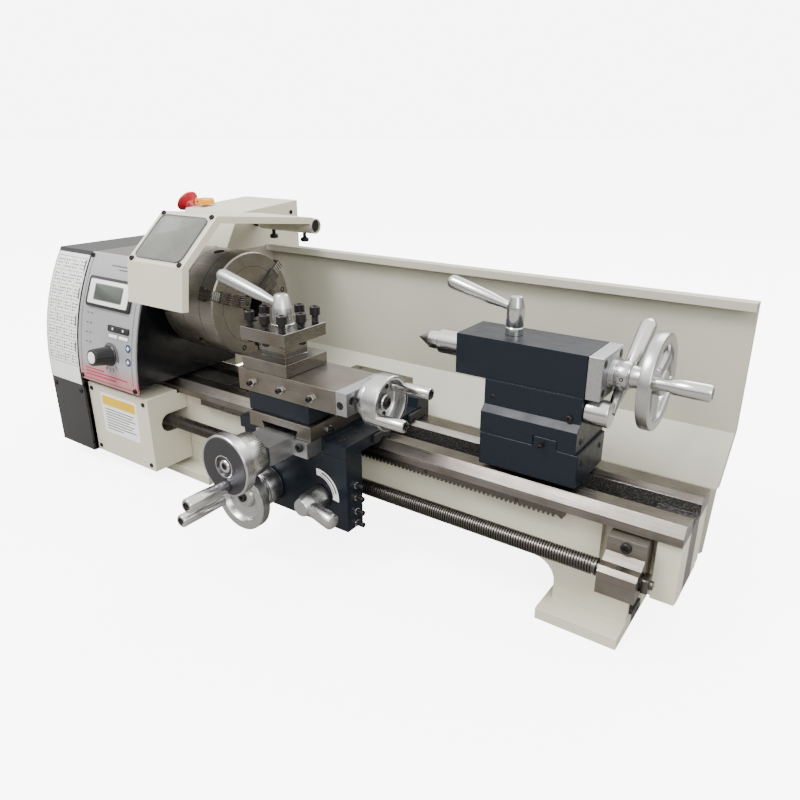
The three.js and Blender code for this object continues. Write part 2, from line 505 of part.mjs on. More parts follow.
const postBox = (half, z0, z1) =>
  box([POST.x - half, POST.y - half, z0], [POST.x + half, POST.y + half, z1]);
add('tool_post', join(
  postBox(POST.half, TOP_SLIDE.top + GAP, POST.seat),
  postBox(POST.core, POST.seat - 1, POST.slotTop + 1),
  postBox(POST.half, POST.slotTop, POST.top)), MATERIAL.groundSteel);
const LEVER_ARM = [[0, 4.5], [0.12, 4.5], [0.28, 6.5], [0.95, 8], [1, 5.5]]; // thin at the boss, round end
add('tool_post_lever', join(
  turned('z', [[POST.top + GAP, 10.4], [137, 10.4], [149, 7], [150, 5]], [POST.x, POST.y, 0], 24),
  between([POST.x - 6, POST.y, 139], [44, -85, 161], LEVER_ARM)), MATERIAL.brightSteel);

// ---------------------------------------------------------------- tailstock
// A tongue on the base keys it to the body, which is set over sideways on it for tapers.
const tongue = (gap) => [[TONGUE.left - gap, TAIL.split], [TONGUE.left - gap, TONGUE.top + gap],
  [TONGUE.right + gap, TONGUE.top + gap], [TONGUE.right + gap, TAIL.split]];
add('tailstock_base', extrude('y', [
  [TAIL.left, 2.2], [TAIL.left, TAIL.split], ...tongue(0), [TAIL.right, TAIL.split], [TAIL.right, 2.2],
], TAIL.front, TAIL.back), MATERIAL.casting);
add('tailstock_body', cut(join(
  extrude('x', [[TAIL.front, TAIL.split + GAP], [TAIL.back, TAIL.split + GAP], [TAIL.back, 55], [28, 62],
    [28, 86], [-28, 86], [-28, 62], [TAIL.front, 56]], TAIL.left, TAIL_BODY.right),
  box([TAIL_BODY.left, -TAIL_BODY.half, TAIL_BODY.bottom], [TAIL_BODY.right, TAIL_BODY.half, TAIL_BODY.top])),
rod('x', QUILL.radius + GAP, 290, 440, ON_AXIS, 28),
extrude('y', tongue(GAP), TAIL.front - 1, TAIL.back + 1)), MATERIAL.casting);
const FLANGE = { right: 441, bossRight: 446 };
add('tailstock_flange', cut(join(
  box([TAIL_BODY.right + GAP, -TAIL_BODY.half, TAIL_BODY.bottom],
    [FLANGE.right, TAIL_BODY.half, TAIL_BODY.top]),
  rod('x', 12, FLANGE.right - 1, FLANGE.bossRight, ON_AXIS)),
rod('x', 7, 420, 450, ON_AXIS)), MATERIAL.aluminium);
add('tailstock_quill', cut(rod('x', QUILL.radius, QUILL.left, QUILL.right, ON_AXIS, 28),
  rod('x', 7.6, QUILL.left - 1, 344, ON_AXIS)), MATERIAL.groundSteel);
add('tailstock_centre', turned('x', [
  [241, 0.3], [256, 9], [QUILL.left - GAP, 9.6], [QUILL.left - GAP, 7.2], [338, 6.4],
], ON_AXIS), MATERIAL.brightSteel);
const TAIL_WHEEL = { left: 474, right: 484, outer: 42, inner: 32, spokes: 3 };
function tailstockHandwheel() {
  const w = TAIL_WHEEL;
  const dial = FLANGE.bossRight + GAP;
  const spokes = Array.from({ length: w.spokes }, (_, i) =>
    box([w.left + 2, 0, -5], [w.right - 1, w.inner + 1, 5])
      .applyMatrix4(new THREE.Matrix4().makeRotationX(2 * Math.PI * i / w.spokes)).translate(...ON_AXIS));
  return join(
    ring('x', w.outer, w.inner, w.left, w.right, ON_AXIS, 36),
    turned('x', [
      [QUILL.right + 2, 6.4], [dial, 6.4], [dial, 13], [458, 13], [458, 10.5], [w.right, 10.5],
    ], ON_AXIS),
    ...spokes);
}
add('tailstock_handwheel', tailstockHandwheel(), MATERIAL.aluminium);
add('tailstock_handle',
  grip('x', [0, -30.5, CENTRE_HEIGHT + 9], TAIL_WHEEL.right + GAP, 528.6, 5, 7), MATERIAL.brightSteel);
add('quill_lock_lever', join(
  turned('z', [[TAIL_BODY.top + GAP, 8.4], [151, 8.4], [161, 5.5]], [346.5, 0, 0], 24),
  between([341, 0, 150], [274, 0, 167], [[0, 4], [0.12, 4], [0.3, 6.2], [0.95, 7], [1, 4.5]])),
MATERIAL.brightSteel);
add('tailstock_clamp_lever', join(
  turned('x', [[TAIL_BODY.right + GAP, 12], [448, 12], [449, 11]], [0, -14, 72], 24),
  between([446, -8, 71], [452, 63, 141], [[0, 4.5], [0.45, 4.5], [0.65, 6.5], [0.95, 8], [1, 5.5]])),
MATERIAL.brightSteel);

const group = lathe;
export default group;
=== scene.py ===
"""Looks of the bench metal lathe: materials, fine pieces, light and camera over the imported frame."""

import math

import bmesh
import bpy
from mathutils import Matrix, Vector


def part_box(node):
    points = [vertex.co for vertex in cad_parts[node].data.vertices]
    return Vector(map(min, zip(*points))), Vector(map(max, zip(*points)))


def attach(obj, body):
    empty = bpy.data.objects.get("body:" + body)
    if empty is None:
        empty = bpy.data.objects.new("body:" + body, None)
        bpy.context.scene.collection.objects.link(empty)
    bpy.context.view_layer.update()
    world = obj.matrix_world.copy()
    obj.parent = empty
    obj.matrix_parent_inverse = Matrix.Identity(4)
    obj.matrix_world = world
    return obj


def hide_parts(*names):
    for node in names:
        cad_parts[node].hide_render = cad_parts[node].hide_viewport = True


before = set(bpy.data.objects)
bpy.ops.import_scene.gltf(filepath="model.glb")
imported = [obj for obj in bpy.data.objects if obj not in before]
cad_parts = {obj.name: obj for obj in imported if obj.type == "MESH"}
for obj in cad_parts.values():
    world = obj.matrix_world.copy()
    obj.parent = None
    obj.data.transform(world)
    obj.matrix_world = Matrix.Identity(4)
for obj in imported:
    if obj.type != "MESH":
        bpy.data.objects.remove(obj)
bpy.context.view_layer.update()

# ---------------------------------------------------------------- working axes
# The lathe is described in millimetres from the chuck face (x), the spindle axis (y) and the top of
# the bed (z), as a machinist would, and at() turns such a place into metres in the frame.
MM = 0.001
CENTRE_HEIGHT = 105
chuck_low, chuck_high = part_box("chuck_body")
ORIGIN = Vector((
    chuck_high.x,
    (chuck_low.y + chuck_high.y) / 2,
    (chuck_low.z + chuck_high.z) / 2 - CENTRE_HEIGHT * MM,
))


def at(x, y, z):
    return ORIGIN + Vector((x, y, z)) * MM


# ---------------------------------------------------------------- camera
AZIMUTH = math.radians(34.86)
ELEVATION = math.radians(21.38)
EYE = (612.5, -567.6, 300.6)
LENS = 30.98


def make_camera():
    data = bpy.data.cameras.new("camera")
    data.lens = LENS
    data.sensor_width = 36
    data.clip_start = 0.01
    camera = bpy.data.objects.new("camera", data)
    back = Vector((
        math.sin(AZIMUTH) * math.cos(ELEVATION),
        -math.cos(AZIMUTH) * math.cos(ELEVATION),
        math.sin(ELEVATION),
    ))
    camera.location = at(*EYE)
    camera.rotation_mode = "QUATERNION"
    camera.rotation_quaternion = (-back).to_track_quat("-Z", "Y")
    bpy.context.scene.collection.objects.link(camera)
    bpy.context.scene.camera = camera


# ---------------------------------------------------------------- materials
class Look:
    """A node material under construction, with the few node recipes that this scene needs."""

    def __init__(self, name):
        self.material = bpy.data.materials.new(name)
        self.material.use_nodes = True
        self.tree = self.material.node_tree
        self.shader = self.tree.nodes["Principled BSDF"]
        self.coords = self.add("ShaderNodeTexCoord").outputs["Object"]

    def add(self, kind, **settings):
        node = self.tree.nodes.new(kind)
        for key, value in settings.items():
            setattr(node, key, value)
        return node

    def link(self, source, target):
        self.tree.links.new(source, target)

    def put(self, socket, value):
        """Sets an input of the shader, from a number, a colour or another node's output."""
        target = self.shader.inputs[socket]
        if isinstance(value, bpy.types.NodeSocket):
            self.link(value, target)
        elif isinstance(value, tuple):
            target.default_value = (*value, 1)
        else:
            target.default_value = value

    def math(self, operation, a, b=0.0):
        node = self.add("ShaderNodeMath", operation=operation)
        for i, value in enumerate((a, b)):
            if isinstance(value, bpy.types.NodeSocket):
                self.link(value, node.inputs[i])
            else:
                node.inputs[i].default_value = value
        return node.outputs[0]

    def noise(self, scale, stretch=(1, 1, 1), detail=3.0):
        mapping = self.add("ShaderNodeMapping")
        mapping.inputs["Scale"].default_value = stretch
        self.link(self.coords, mapping.inputs["Vector"])
        node = self.add("ShaderNodeTexNoise")
        node.inputs["Scale"].default_value = scale
        node.inputs["Detail"].default_value = detail
        self.link(mapping.outputs[0], node.inputs["Vector"])
        return node.outputs["Fac"]

    def rings(self, scale):
        """Fine lathe-turned lines round the piece's own Z axis, on its flats and on its sides."""
        split = self.add("ShaderNodeSeparateXYZ")
        self.link(self.coords, split.inputs[0])
        x2 = self.math("MULTIPLY", split.outputs[0], split.outputs[0])
        y2 = self.math("MULTIPLY", split.outputs[1], split.outputs[1])
        radius = self.math("SQRT", self.math("ADD", x2, y2))
        place = self.math("ADD", radius, split.outputs[2])
        node = self.add("ShaderNodeTexNoise", noise_dimensions="1D")
        node.inputs["Scale"].default_value = scale
        node.inputs["Detail"].default_value = 2
        self.link(place, node.inputs["W"])
        return node.outputs["Fac"]

    def spread(self, value, low, high, start=0.3, end=0.7):
        node = self.add("ShaderNodeMapRange")
        self.link(value, node.inputs["Value"])
        for key, number in (("From Min", start), ("From Max", end), ("To Min", low), ("To Max", high)):
            node.inputs[key].default_value = number
        return node.outputs[0]

    def blend(self, factor, first, second):
        node = self.add("ShaderNodeMix", data_type="RGBA")
        self.link(factor, node.inputs["Factor"])
        for socket, value in ((node.inputs[6], first), (node.inputs[7], second)):
            if isinstance(value, bpy.types.NodeSocket):
                self.link(value, socket)
            else:
                socket.default_value = (*value, 1)
        return node.outputs[2]

    def bump(self, height, strength, distance):
        node = self.add("ShaderNodeBump")
        node.inputs["Strength"].default_value = strength
        node.inputs["Distance"].default_value = distance
        self.link(height, node.inputs["Height"])
        self.link(node.outputs[0], self.shader.inputs["Normal"])


def shade(colour, factor):
    return tuple(min(1, c * factor) for c in colour)


def enamel(name, colour, roughness, peel=0.25, gloss=0.5):
    """Sprayed machine paint: orange peel, faint clouds of colour and handling marks in the gloss."""
    look = Look(name)
    clouds = look.noise(14, detail=4)
    look.put("Base Color", look.blend(clouds, shade(colour, 0.92), shade(colour, 1.06)))
    look.put("Roughness", look.spread(look.noise(60, detail=5), roughness - 0.06, roughness + 0.08))
    look.put("Specular IOR Level", gloss)
    look.bump(look.noise(750, detail=2), peel, 0.0002)
    return look.material


def ground(name, colour, roughness, lines=(12, 600, 600), stain=(0.75, 0.66, 0.55), depth=0.25):
    """Ground steel: fine lines along one direction, oil tint in patches, varying gloss."""
    look = Look(name)
    grain = look.noise(1, stretch=lines, detail=6)
    patches = look.noise(22, detail=6)
    oily = tuple(c * s for c, s in zip(colour, stain))
    tinted = look.blend(look.spread(patches, 0, 1, 0.42, 0.72), colour, oily)
    look.put("Base Color", look.blend(look.spread(grain, 0.0, 0.35), tinted, shade(colour, 0.55)))
    look.put("Metallic", 1.0)
    look.put("Roughness", look.spread(grain, roughness - 0.07, roughness + 0.12))
    look.bump(grain, depth, 0.0001)
    return look.material


def turned_metal(name, colour, roughness, scale=2600, depth=0.3):
    """Metal off the lathe: rings of fine tool marks with a soft change of gloss."""
    look = Look(name)
    rings = look.rings(scale)
    clouds = look.noise(40, detail=4)
    toned = look.blend(look.spread(rings, 0, 1), shade(colour, 0.82), colour)
    look.put("Base Color", look.blend(look.spread(clouds, 0, 0.3), toned, shade(colour, 0.8)))
    look.put("Metallic", 1.0)
    look.put("Roughness", look.spread(rings, roughness - 0.05, roughness + 0.1))
    look.bump(rings, depth, 0.00008)
    return look.material


def plastic(name, colour, roughness, grain=0.15):
    """Moulded plastic with a fine spark-eroded grain."""
    look = Look(name)
    fine = look.noise(1400, detail=2)
    look.put("Base Color", look.blend(look.noise(30, detail=2), shade(colour, 0.93), shade(colour, 1.05)))
    look.put("Roughness", look.spread(fine, roughness - 0.04, roughness + 0.06))
    look.bump(fine, grain, 0.0001)
    return look.material


def cast_black(name, colour, roughness):
    """Blackened steel of screws: faint blue-brown clouds and a dull satin gloss."""
    look = Look(name)
    clouds = look.noise(180, detail=4)
    brown = (colour[0] * 1.7, colour[1] * 1.4, colour[2] * 1.3)
    look.put("Base Color", look.blend(clouds, shade(colour, 0.7), brown))
    look.put("Metallic", 0.7)
    look.put("Roughness", look.spread(look.noise(700), roughness - 0.06, roughness + 0.1))
    look.bump(look.noise(900), 0.15, 0.0001)
    return look.material


CREAM = (0.60, 0.575, 0.455)
STEEL = (0.235, 0.220, 0.200)
LOOKS = {
    "cream": enamel("cream enamel", CREAM, 0.38),
    # the splash guard is the same cream paint; this darker, more olive copy of it is painted shade
    "splash": enamel("splash guard cream with painted shade", (0.45, 0.44, 0.355), 0.42),
    "casting": enamel("blue-black enamel", (0.0050, 0.0082, 0.0135), 0.34, peel=0.3, gloss=0.25),
    "head": enamel("gloss black enamel", (0.004, 0.0045, 0.006), 0.2, peel=0.08),
    # the top cover is gloss black like the headstock; its grey tone is a painted reflection of the bright
    # light above
    "lid": enamel("black lid enamel with painted reflection", (0.085, 0.083, 0.074), 0.3, peel=0.08),
    "ground": ground("ground steel along X", STEEL, 0.34),
    "ground_y": ground("ground steel along Y", STEEL, 0.34, lines=(600, 12, 600)),
    "post": ground("ground tool post steel", (0.20, 0.190, 0.174), 0.2, lines=(9, 9, 700), depth=0.05),
    "jaw": ground("hardened jaw steel", (0.13, 0.125, 0.12), 0.25, lines=(30, 500, 500)),
    "satin": turned_metal("satin turned steel", (0.50, 0.50, 0.50), 0.3, depth=0.15),
    "bright": turned_metal("polished steel", (0.62, 0.62, 0.61), 0.17, depth=0.10),
    "aluminium": turned_metal("turned aluminium", (0.52, 0.52, 0.52), 0.26, depth=0.2),
    "milled": ground("milled aluminium", (0.44, 0.45, 0.46), 0.36, lines=(500, 30, 500), stain=(0.95,) * 3),
    # the handwheel face is aluminium; its near-black colour is a painted reflection of dark surroundings
    "wheel_face": turned_metal("dark wheel face", (0.085, 0.085, 0.095), 0.36, scale=3000, depth=0.2),
    "screw": cast_black("black oxide", (0.018, 0.018, 0.020), 0.42),
    "leadscrew": turned_metal("rolled screw steel", (0.13, 0.12, 0.11), 0.3),
    "black_plastic": plastic("black plastic", (0.012, 0.012, 0.013), 0.32),
    "white_print": plastic("white printed film", (0.84, 0.85, 0.84), 0.42, grain=0.05),
    "red_print": plastic("red print", (0.42, 0.02, 0.06), 0.42, grain=0.05),
    "grey_print": plastic("grey print", (0.09, 0.09, 0.10), 0.45, grain=0.05),
    "blue_print": plastic("blue print", (0.02, 0.035, 0.12), 0.4, grain=0.05),
    "yellow_print": plastic("amber band", (0.72, 0.44, 0.004), 0.45, grain=0.05),
    "dark_red": plastic("dark red plastic", (0.30, 0.012, 0.018), 0.36),
    "red": plastic("red plastic", (0.50, 0.015, 0.03), 0.34),
    "yellow": plastic("yellow plastic", (0.80, 0.33, 0.002), 0.42),
    "lcd": plastic("display glass", (0.060, 0.072, 0.058), 0.15, grain=0.0),
    "rubber": plastic("rubber", (0.015, 0.015, 0.015), 0.75, grain=0.5),
    "brass": turned_metal("brass", (0.62, 0.45, 0.16), 0.3),
}


def bed_look():
    """Painted casting below, ground ways on top, and a rough iron gap between the ways whose dark tone is
    partly real and partly painted shade; the same colour is painted over the foot of the back way as painted
    shade.
    """
    look = Look("bed casting and ways")
    split = look.add("ShaderNodeSeparateXYZ")
    look.link(look.coords, split.inputs[0])
    across, height = split.outputs[1], split.outputs[2]

    def all_of(first, *others):
        for other in others:
            first = look.math("MULTIPLY", first, other)
        return first

    def higher_than(z):
        return look.math("GREATER_THAN", height, at(0, 0, z).z)

    def lower_than(z):
        return look.math("LESS_THAN", height, at(0, 0, z).z)

    def nearer_than(y):
        return look.math("LESS_THAN", across, at(0, y, 0).y)

    paint_line = -15.9  # painted below this height, machined above it
    front_way, back_way = -16.2, 13.2  # the faces of the ways towards the gap
    shoulder, gap_floor = -2.4, -12.1  # ground above the shoulder, rough iron down to the floor
    painted_shade_reach = 15  # the dark rough-iron colour is carried over the steel bevel at the foot of the back way, as painted shade
    above = higher_than(paint_line)
    behind_front_way = look.math("GREATER_THAN", across, at(0, front_way, 0).y)
    gap = all_of(behind_front_way, nearer_than(back_way), lower_than(shoulder))
    # painted shade: the steel bevel at the foot of the back way takes the dark rough-iron colour so it shows
    # no reflection
    corner = all_of(lower_than(gap_floor), nearer_than(painted_shade_reach), behind_front_way, above)
    gap = look.math("MAXIMUM", gap, corner)
    grain = look.noise(1, stretch=(12, 700, 700), detail=6)
    stain = look.noise(26, detail=6)
    steel = look.blend(look.spread(stain, 0, 1, 0.4, 0.75), (0.27, 0.25, 0.23), (0.16, 0.135, 0.115))
    steel = look.blend(look.spread(grain, 0, 0.4), steel, (0.10, 0.09, 0.08))
    paint = look.blend(look.noise(14, detail=4), shade(CREAM, 0.9), shade(CREAM, 1.05))
    flecks = look.spread(look.noise(620, detail=5), 0, 1, 0.48, 0.68)
    # rough iron between the ways: the dark tone is partly the iron's own and partly painted shade
    rough_iron_and_shade = look.blend(flecks, (0.016, 0.0155, 0.015), (0.11, 0.104, 0.096))
    look.put("Base Color", look.blend(gap, look.blend(above, paint, steel), rough_iron_and_shade))
    look.put("Metallic", all_of(above, look.math("SUBTRACT", 1.0, gap)))
    look.put("Roughness", look.spread(grain, 0.24, 0.42))
    look.bump(look.noise(800, detail=3), 0.25, 0.0002)
    return look.material


def panel_look():
    """Silver printed film that fades to a soft rose towards the bottom."""
    look = Look("control panel film")
    split = look.add("ShaderNodeSeparateXYZ")
    look.link(look.coords, split.inputs[0])
    rose_low, rose_high, row_pitch = 0, 26, 2400.0
    fade = look.spread(split.outputs[2], 1, 0, at(0, 0, rose_low).z, at(0, 0, rose_high).z)
    rows = look.math("SINE", look.math("MULTIPLY", split.outputs[2], row_pitch))
    rose = look.blend(look.spread(rows, 0, 0.35, -1, 1), (0.52, 0.15, 0.17), (0.62, 0.45, 0.46))
    silver = look.blend(look.noise(20), (0.36, 0.355, 0.37), (0.44, 0.435, 0.45))
    look.put("Base Color", look.blend(fade, silver, rose))
    look.put("Metallic", 0.35)
    look.put("Roughness", look.spread(look.noise(900), 0.28, 0.36))
    look.bump(look.noise(900), 0.08, 0.0001)
    return look.material


def window_look():
    """Clear polycarbonate seen edge-on to the light: glossy, lightly scuffed, and painted dark and nearly
    opaque as the shade inside the guard seen through it.
    """
    look = Look("guard window")
    scuffs = look.noise(1, stretch=(300, 30, 300), detail=6)
    haze = look.spread(look.noise(25), 0, 1)
    # painted shade: the dark colour and high alpha stand for the shaded inside of the guard behind the clear
    # pane
    look.put("Base Color", look.blend(haze, (0.085, 0.09, 0.076), (0.13, 0.132, 0.115)))
    look.put("Roughness", look.spread(scuffs, 0.08, 0.22))
    look.put("Alpha", 0.86)
    look.put("Coat Weight", 0.6)
    return look.material


LOOKS["bed"] = bed_look()
LOOKS["panel"] = panel_look()
LOOKS["window"] = window_look()


# ---------------------------------------------------------------- CAD pieces that stay
SHARP_EDGE = math.radians(32)  # edges flatter than this stay as they are


def soften(obj, width):
    """Small machined edges: coplanar faces are merged, sharp edges get a bevel, faces stay flat."""
    weld = obj.modifiers.new("weld", "WELD")
    weld.merge_threshold = 1e-6
    merge = obj.modifiers.new("merge", "DECIMATE")
    merge.decimate_type = "DISSOLVE"
    merge.angle_limit = math.radians(0.6)
    bevel = obj.modifiers.new("edges", "BEVEL")
    bevel.width = width * MM
    bevel.segments = 2
    bevel.limit_method = "ANGLE"
    bevel.angle_limit = SHARP_EDGE
    bevel.miter_outer = "MITER_ARC"
    bevel.use_clamp_overlap = True
    normals = obj.modifiers.new("normals", "WEIGHTED_NORMAL")
    normals.keep_sharp = False
    obj.data.shade_smooth()


def keep(node, look, edge):
    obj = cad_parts[node]
    obj.data.materials.clear()
    obj.data.materials.append(LOOKS[look])
    soften(obj, edge)


KEPT = {  # node of the frame: its look, and the width of its eased edges in millimetres
    "bed": ("bed", 1.2), "splash_guard": ("splash", 0.5), "headstock_casting": ("head", 1.5),
    "headstock_top_cover": ("lid", 1.0), "front_spindle_bearing": ("bright", 0.4),
    "rear_spindle_bearing": ("bright", 0.4), "control_panel": ("panel", 0.8), "gear_cover": ("head", 2.0),
    "leadscrew_cover": ("cream", 1.0), "electrical_box": ("cream", 1.5), "drive_motor": ("screw", 1.0),
    "motor_pulley": ("aluminium", 0.5), "drive_belt": ("rubber", 0.5), "estop_flap": ("dark_red", 1.2),
    "spindle": ("ground", 0.6), "spindle_pulley": ("aluminium", 0.5), "spindle_gear": ("ground", 0.4),
    "chuck_backplate": ("ground", 0.5), "chuck_body": ("ground", 0.6), "chuck_jaw_1": ("jaw", 0.4),
    "chuck_jaw_2": ("jaw", 0.4), "chuck_jaw_3": ("jaw", 0.4), "chuck_guard": ("cream", 0.6),
    "guard_hinge_pin": ("screw", 0.6),
    "change_gear_stud": ("bright", 0.3), "change_gear": ("ground", 0.4), "leadscrew_gear": ("ground", 0.4),
    "leadscrew_bearing_block": ("ground", 0.7), "saddle": ("casting", 1.0), "apron": ("casting", 2.0),
    "half_nut": ("bright", 0.3), "cross_slide": ("ground_y", 0.6), "cross_slide_bracket": ("milled", 2.4),
    "compound_base": ("casting", 0.8), "top_slide": ("ground", 0.6), "top_slide_bracket": ("milled", 0.7),
    "tool_post": ("post", 0.8), "tailstock_base": ("casting", 1.2),
    "tailstock_body": ("casting", 1.6), "tailstock_flange": ("milled", 0.8),
}
for node, (look, edge) in KEPT.items():
    keep(node, look, edge)


# ---------------------------------------------------------------- building new pieces
FIXED = "bed_and_head"  # the body that stands still
SPINDLE = (0, 0, CENTRE_HEIGHT)  # where the spindle axis meets the chuck face


def rotation(axis, degrees):
    return Matrix.Rotation(math.radians(degrees), 4, axis)


def shift(x, y, z):
    return Matrix.Translation((x, y, z))


ALONG = {  # turns a piece's own Z axis to a direction of the lathe
    "+x": rotation("Y", 90),
    "-x": rotation("Y", -90),
    "+y": rotation("X", -90),
    "-y": rotation("X", 90),
    "+z": Matrix.Identity(4),
}


def axes(place, along):
    """Axes with their origin at place. along is a direction for Z, or a whole rotation."""
    return Matrix.Translation(Vector(place)) @ (along if isinstance(along, Matrix) else ALONG[along])


def pointing(start, end):
    """Rotation that turns Z towards end, seen from start."""
    direction = Vector(end) - Vector(start)
    return direction.to_track_quat("Z", "Y").to_matrix().to_4x4()


def circle(radius, z, count):
    angles = [2 * math.pi * i / count for i in range(count)]
    return [(radius * math.cos(angle), radius * math.sin(angle), z) for angle in angles]


class Part:
    """One piece of mesh, gathered from simple solids. Everything inside is in millimetres, in the
    piece's own axes, whose origin is a place of the lathe and whose Z axis points along a direction."""

    def __init__(self, name, look, body, place=(0, 0, 0), along="+z"):
        self.name = name
        self.look = look
        self.body = body
        self.matrix = axes(at(*place), along)
        self.bm = bmesh.new()

    def add(self, points, faces, where=None):
        if where is not None:
            points = [where @ Vector(p) for p in points]
        verts = [self.bm.verts.new(Vector(p) * MM) for p in points]
        return [self.bm.faces.new([verts[i] for i in face]) for face in faces]

    def loft(self, loops, where=None, cap=True):
        """Skins a row of point loops that all have the same number of points."""
        count = len(loops[0])
        points = [p for loop in loops for p in loop]
        faces = []
        for row in range(len(loops) - 1):
            for i in range(count):
                a, b = row * count + i, row * count + (i + 1) % count
                faces.append((a, b, b + count, a + count))
        if cap:
            faces.append(tuple(reversed(range(count))))
            last = (len(loops) - 1) * count
            faces.append(tuple(range(last, last + count)))
        self.add(points, faces, where)
        return self

    def turned(self, profile, where=None, sides=64, closed=False):
        """profile is a list of (place along Z, radius). A closed profile makes a ring."""
        loops = [circle(max(radius, 0.02), along, sides) for along, radius in profile]
        if closed:
            loops.append(loops[0])
            self.loft(loops, where, cap=False)
            bmesh.ops.remove_doubles(self.bm, verts=self.bm.verts, dist=1e-7)
            return self
        return self.loft(loops, where)

    def prism(self, outline, z0, z1, where=None, edge=0.0):
        """An outline of (x, y) points pushed from z0 to z1, with an eased edge all round."""
        count = len(outline)
        points = [(x, y, z0) for x, y in outline] + [(x, y, z1) for x, y in outline]
        faces = [tuple(reversed(range(count))), tuple(range(count, 2 * count))]
        for i in range(count):
            j = (i + 1) % count
            faces.append((i, j, count + j, count + i))
        made = self.add(points, faces, where)
        if edge:
            edges = list({e for face in made for e in face.edges})
            bmesh.ops.bevel(self.bm, geom=edges, offset=edge * MM, segments=2, affect="EDGES", profile=0.5)
        return self

    def block(self, low, high, edge=0.4, where=None):
        (x0, y0, z0), (x1, y1, z1) = low, high
        return self.prism([(x0, y0), (x1, y0), (x1, y1), (x0, y1)], z0, z1, where, edge)

    def cap_screw(self, place, along="+z", radius=4.0, height=5.0, socket=None):
        """A socket head: eased rim and a hexagonal recess. place is under the head."""
        count = 24
        hexagon = socket or radius * 0.52

        def six(r, z):
            loop = []
            for i in range(count):
                angle = 2 * math.pi * i / count
                inside = (angle % (math.pi / 3)) - math.pi / 6
                reach = r * math.cos(math.pi / 6) / math.cos(inside)
                loop.append((reach * math.cos(angle), reach * math.sin(angle), z))
            return loop

        ease = radius * 0.14
        return self.loft([
            circle(radius, 0, count), circle(radius, height - ease, count),
            circle(radius - ease, height, count), six(hexagon * 1.08, height),
            six(hexagon, height - 0.25), six(hexagon, height * 0.45),
        ], axes(place, along))

    def hexagon(self, place, along, across, height, hole=0.0):
        """A hexagon nut with a chamfered crown, and the end of its stud where hole is the stud's radius."""
        where = axes(place, along)
        corner = across / math.sqrt(3)
        angles = [math.pi / 3 * i for i in range(6)]
        outline = [(corner * math.cos(angle), corner * math.sin(angle)) for angle in angles]
        self.prism(outline, 0, height, where, edge=across * 0.035)
        if hole:
            stud = [(height - 0.3, hole), (height + 0.6, hole), (height + 1.0, hole * 0.7)]
            self.turned(stud, where, sides=20)
        return self

    def ticks(self, radius, start, lengths, count):
        """Graduation marks round the Z axis on a cylinder, the pattern of lengths repeating."""
        half, sunk, rise = 0.175, 0.4, 0.12
        for i in range(count):
            low = (radius - sunk, -half, start)
            high = (radius + rise, half, start + lengths[i % len(lengths)])
            self.block(low, high, edge=0, where=Matrix.Rotation(2 * math.pi * i / count, 4, "Z"))
        return self

    def thread(self, radius, depth, pitch, start, end):
        """A trapezoidal screw thread round the Z axis."""
        sides = 20
        steps = int((end - start) / pitch * sides)
        root = radius - depth
        section = [(0.0, root), (0.25, root), (0.42, radius), (0.78, radius), (1.0, root)]
        points = []
        faces = []
        for i in range(steps + 1):
            angle = 2 * math.pi * i / sides
            for share, r in section:
                z = start + pitch * (i / sides + share)
                points.append((r * math.cos(angle), r * math.sin(angle), z))
        width = len(section)
        for i in range(steps):
            for k in range(width - 1):
                a = i * width + k
                faces.append((a, a + width, a + width + 1, a + 1))
        self.add(points, faces)
        return self

    def done(self, replaces=(), sharp=32):
        """Turns the gathered solids into the piece. Edges sharper than sharp degrees stay crisp."""
        bmesh.ops.remove_doubles(self.bm, verts=self.bm.verts, dist=2e-7)
        bmesh.ops.recalc_face_normals(self.bm, faces=self.bm.faces)
        mesh = bpy.data.meshes.new(self.name)
        self.bm.to_mesh(mesh)
        self.bm.free()
        mesh.materials.append(LOOKS[self.look])
        mesh.shade_smooth()
        mesh.set_sharp_from_angle(angle=math.radians(sharp))
        obj = bpy.data.objects.new(self.name, mesh)
        obj.matrix_world = self.matrix
        bpy.context.scene.collection.objects.link(obj)
        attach(obj, self.body)
        if replaces:
            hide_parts(*replaces)


def cap_screws(name, body, places, along, radius, height):
    """One piece made of equal cap screws at several places."""
    piece = Part(name, "screw", body)
    for place in places:
        piece.cap_screw(place, along, radius, height)
    piece.done()


def rounded(width, height, radius, steps=5):
    """Outline of a rectangle with round corners, centred on the origin."""
    outline = []
    for cx, cy, start in ((1, 1, 0), (-1, 1, 90), (-1, -1, 180), (1, -1, 270)):
        for i in range(steps + 1):
            angle = math.radians(start + 90 * i / steps)
            outline.append((
                cx * (width / 2 - radius) + radius * math.cos(angle),
                cy * (height / 2 - radius) + radius * math.sin(angle),
            ))
    return outline


ARC_STEPS = 14


def arc(radius, start, end):
    angles = [math.radians(start + (end - start) * i / ARC_STEPS) for i in range(ARC_STEPS + 1)]
    return [(radius * math.cos(angle), radius * math.sin(angle)) for angle in angles]


def arc_band(inner, outer, start, end):
    """Outline of a flat band bent round the origin, angles in degrees."""
    return arc(outer, start, end) + arc(inner, end, start)


# ---------------------------------------------------------------- bed
def bed_details():
    left, right, pitch = -60, 425, 4.71
    top, root, tip = -16.4, -20.9, -24.4
    outline = [(left, top)]
    for i in range(int((right - left) / pitch)):
        x = left + i * pitch
        outline += [(x, tip), (x + 1.5, tip), (x + 2.5, root), (x + 3.7, root)]
    outline += [(right, tip), (right, top)]
    rack = Part("rack_teeth", "leadscrew", FIXED, (0, -34.4, 0), "-y")
    rack.prism(outline, 0, 10.4).done(replaces=["gear_rack"])

    cap_screws("bed_screws", FIXED, [(x, -44.6, -19) for x in (-20, 80, 180, 280, 380)], "-y", 1.9, 0.4)
    cap_screws("bearing_block_screw", FIXED, [(487.5, -58, -24)], "-y", 4.6, 2.5)
    mark = Part("bearing_block_mark", "wheel_face", FIXED, (487.5, -70, -37))
    mark.turned([(-1, 3.1), (0.12, 3.1), (0.12, 2.6), (-1, 2.6)], sides=48, closed=True).done()


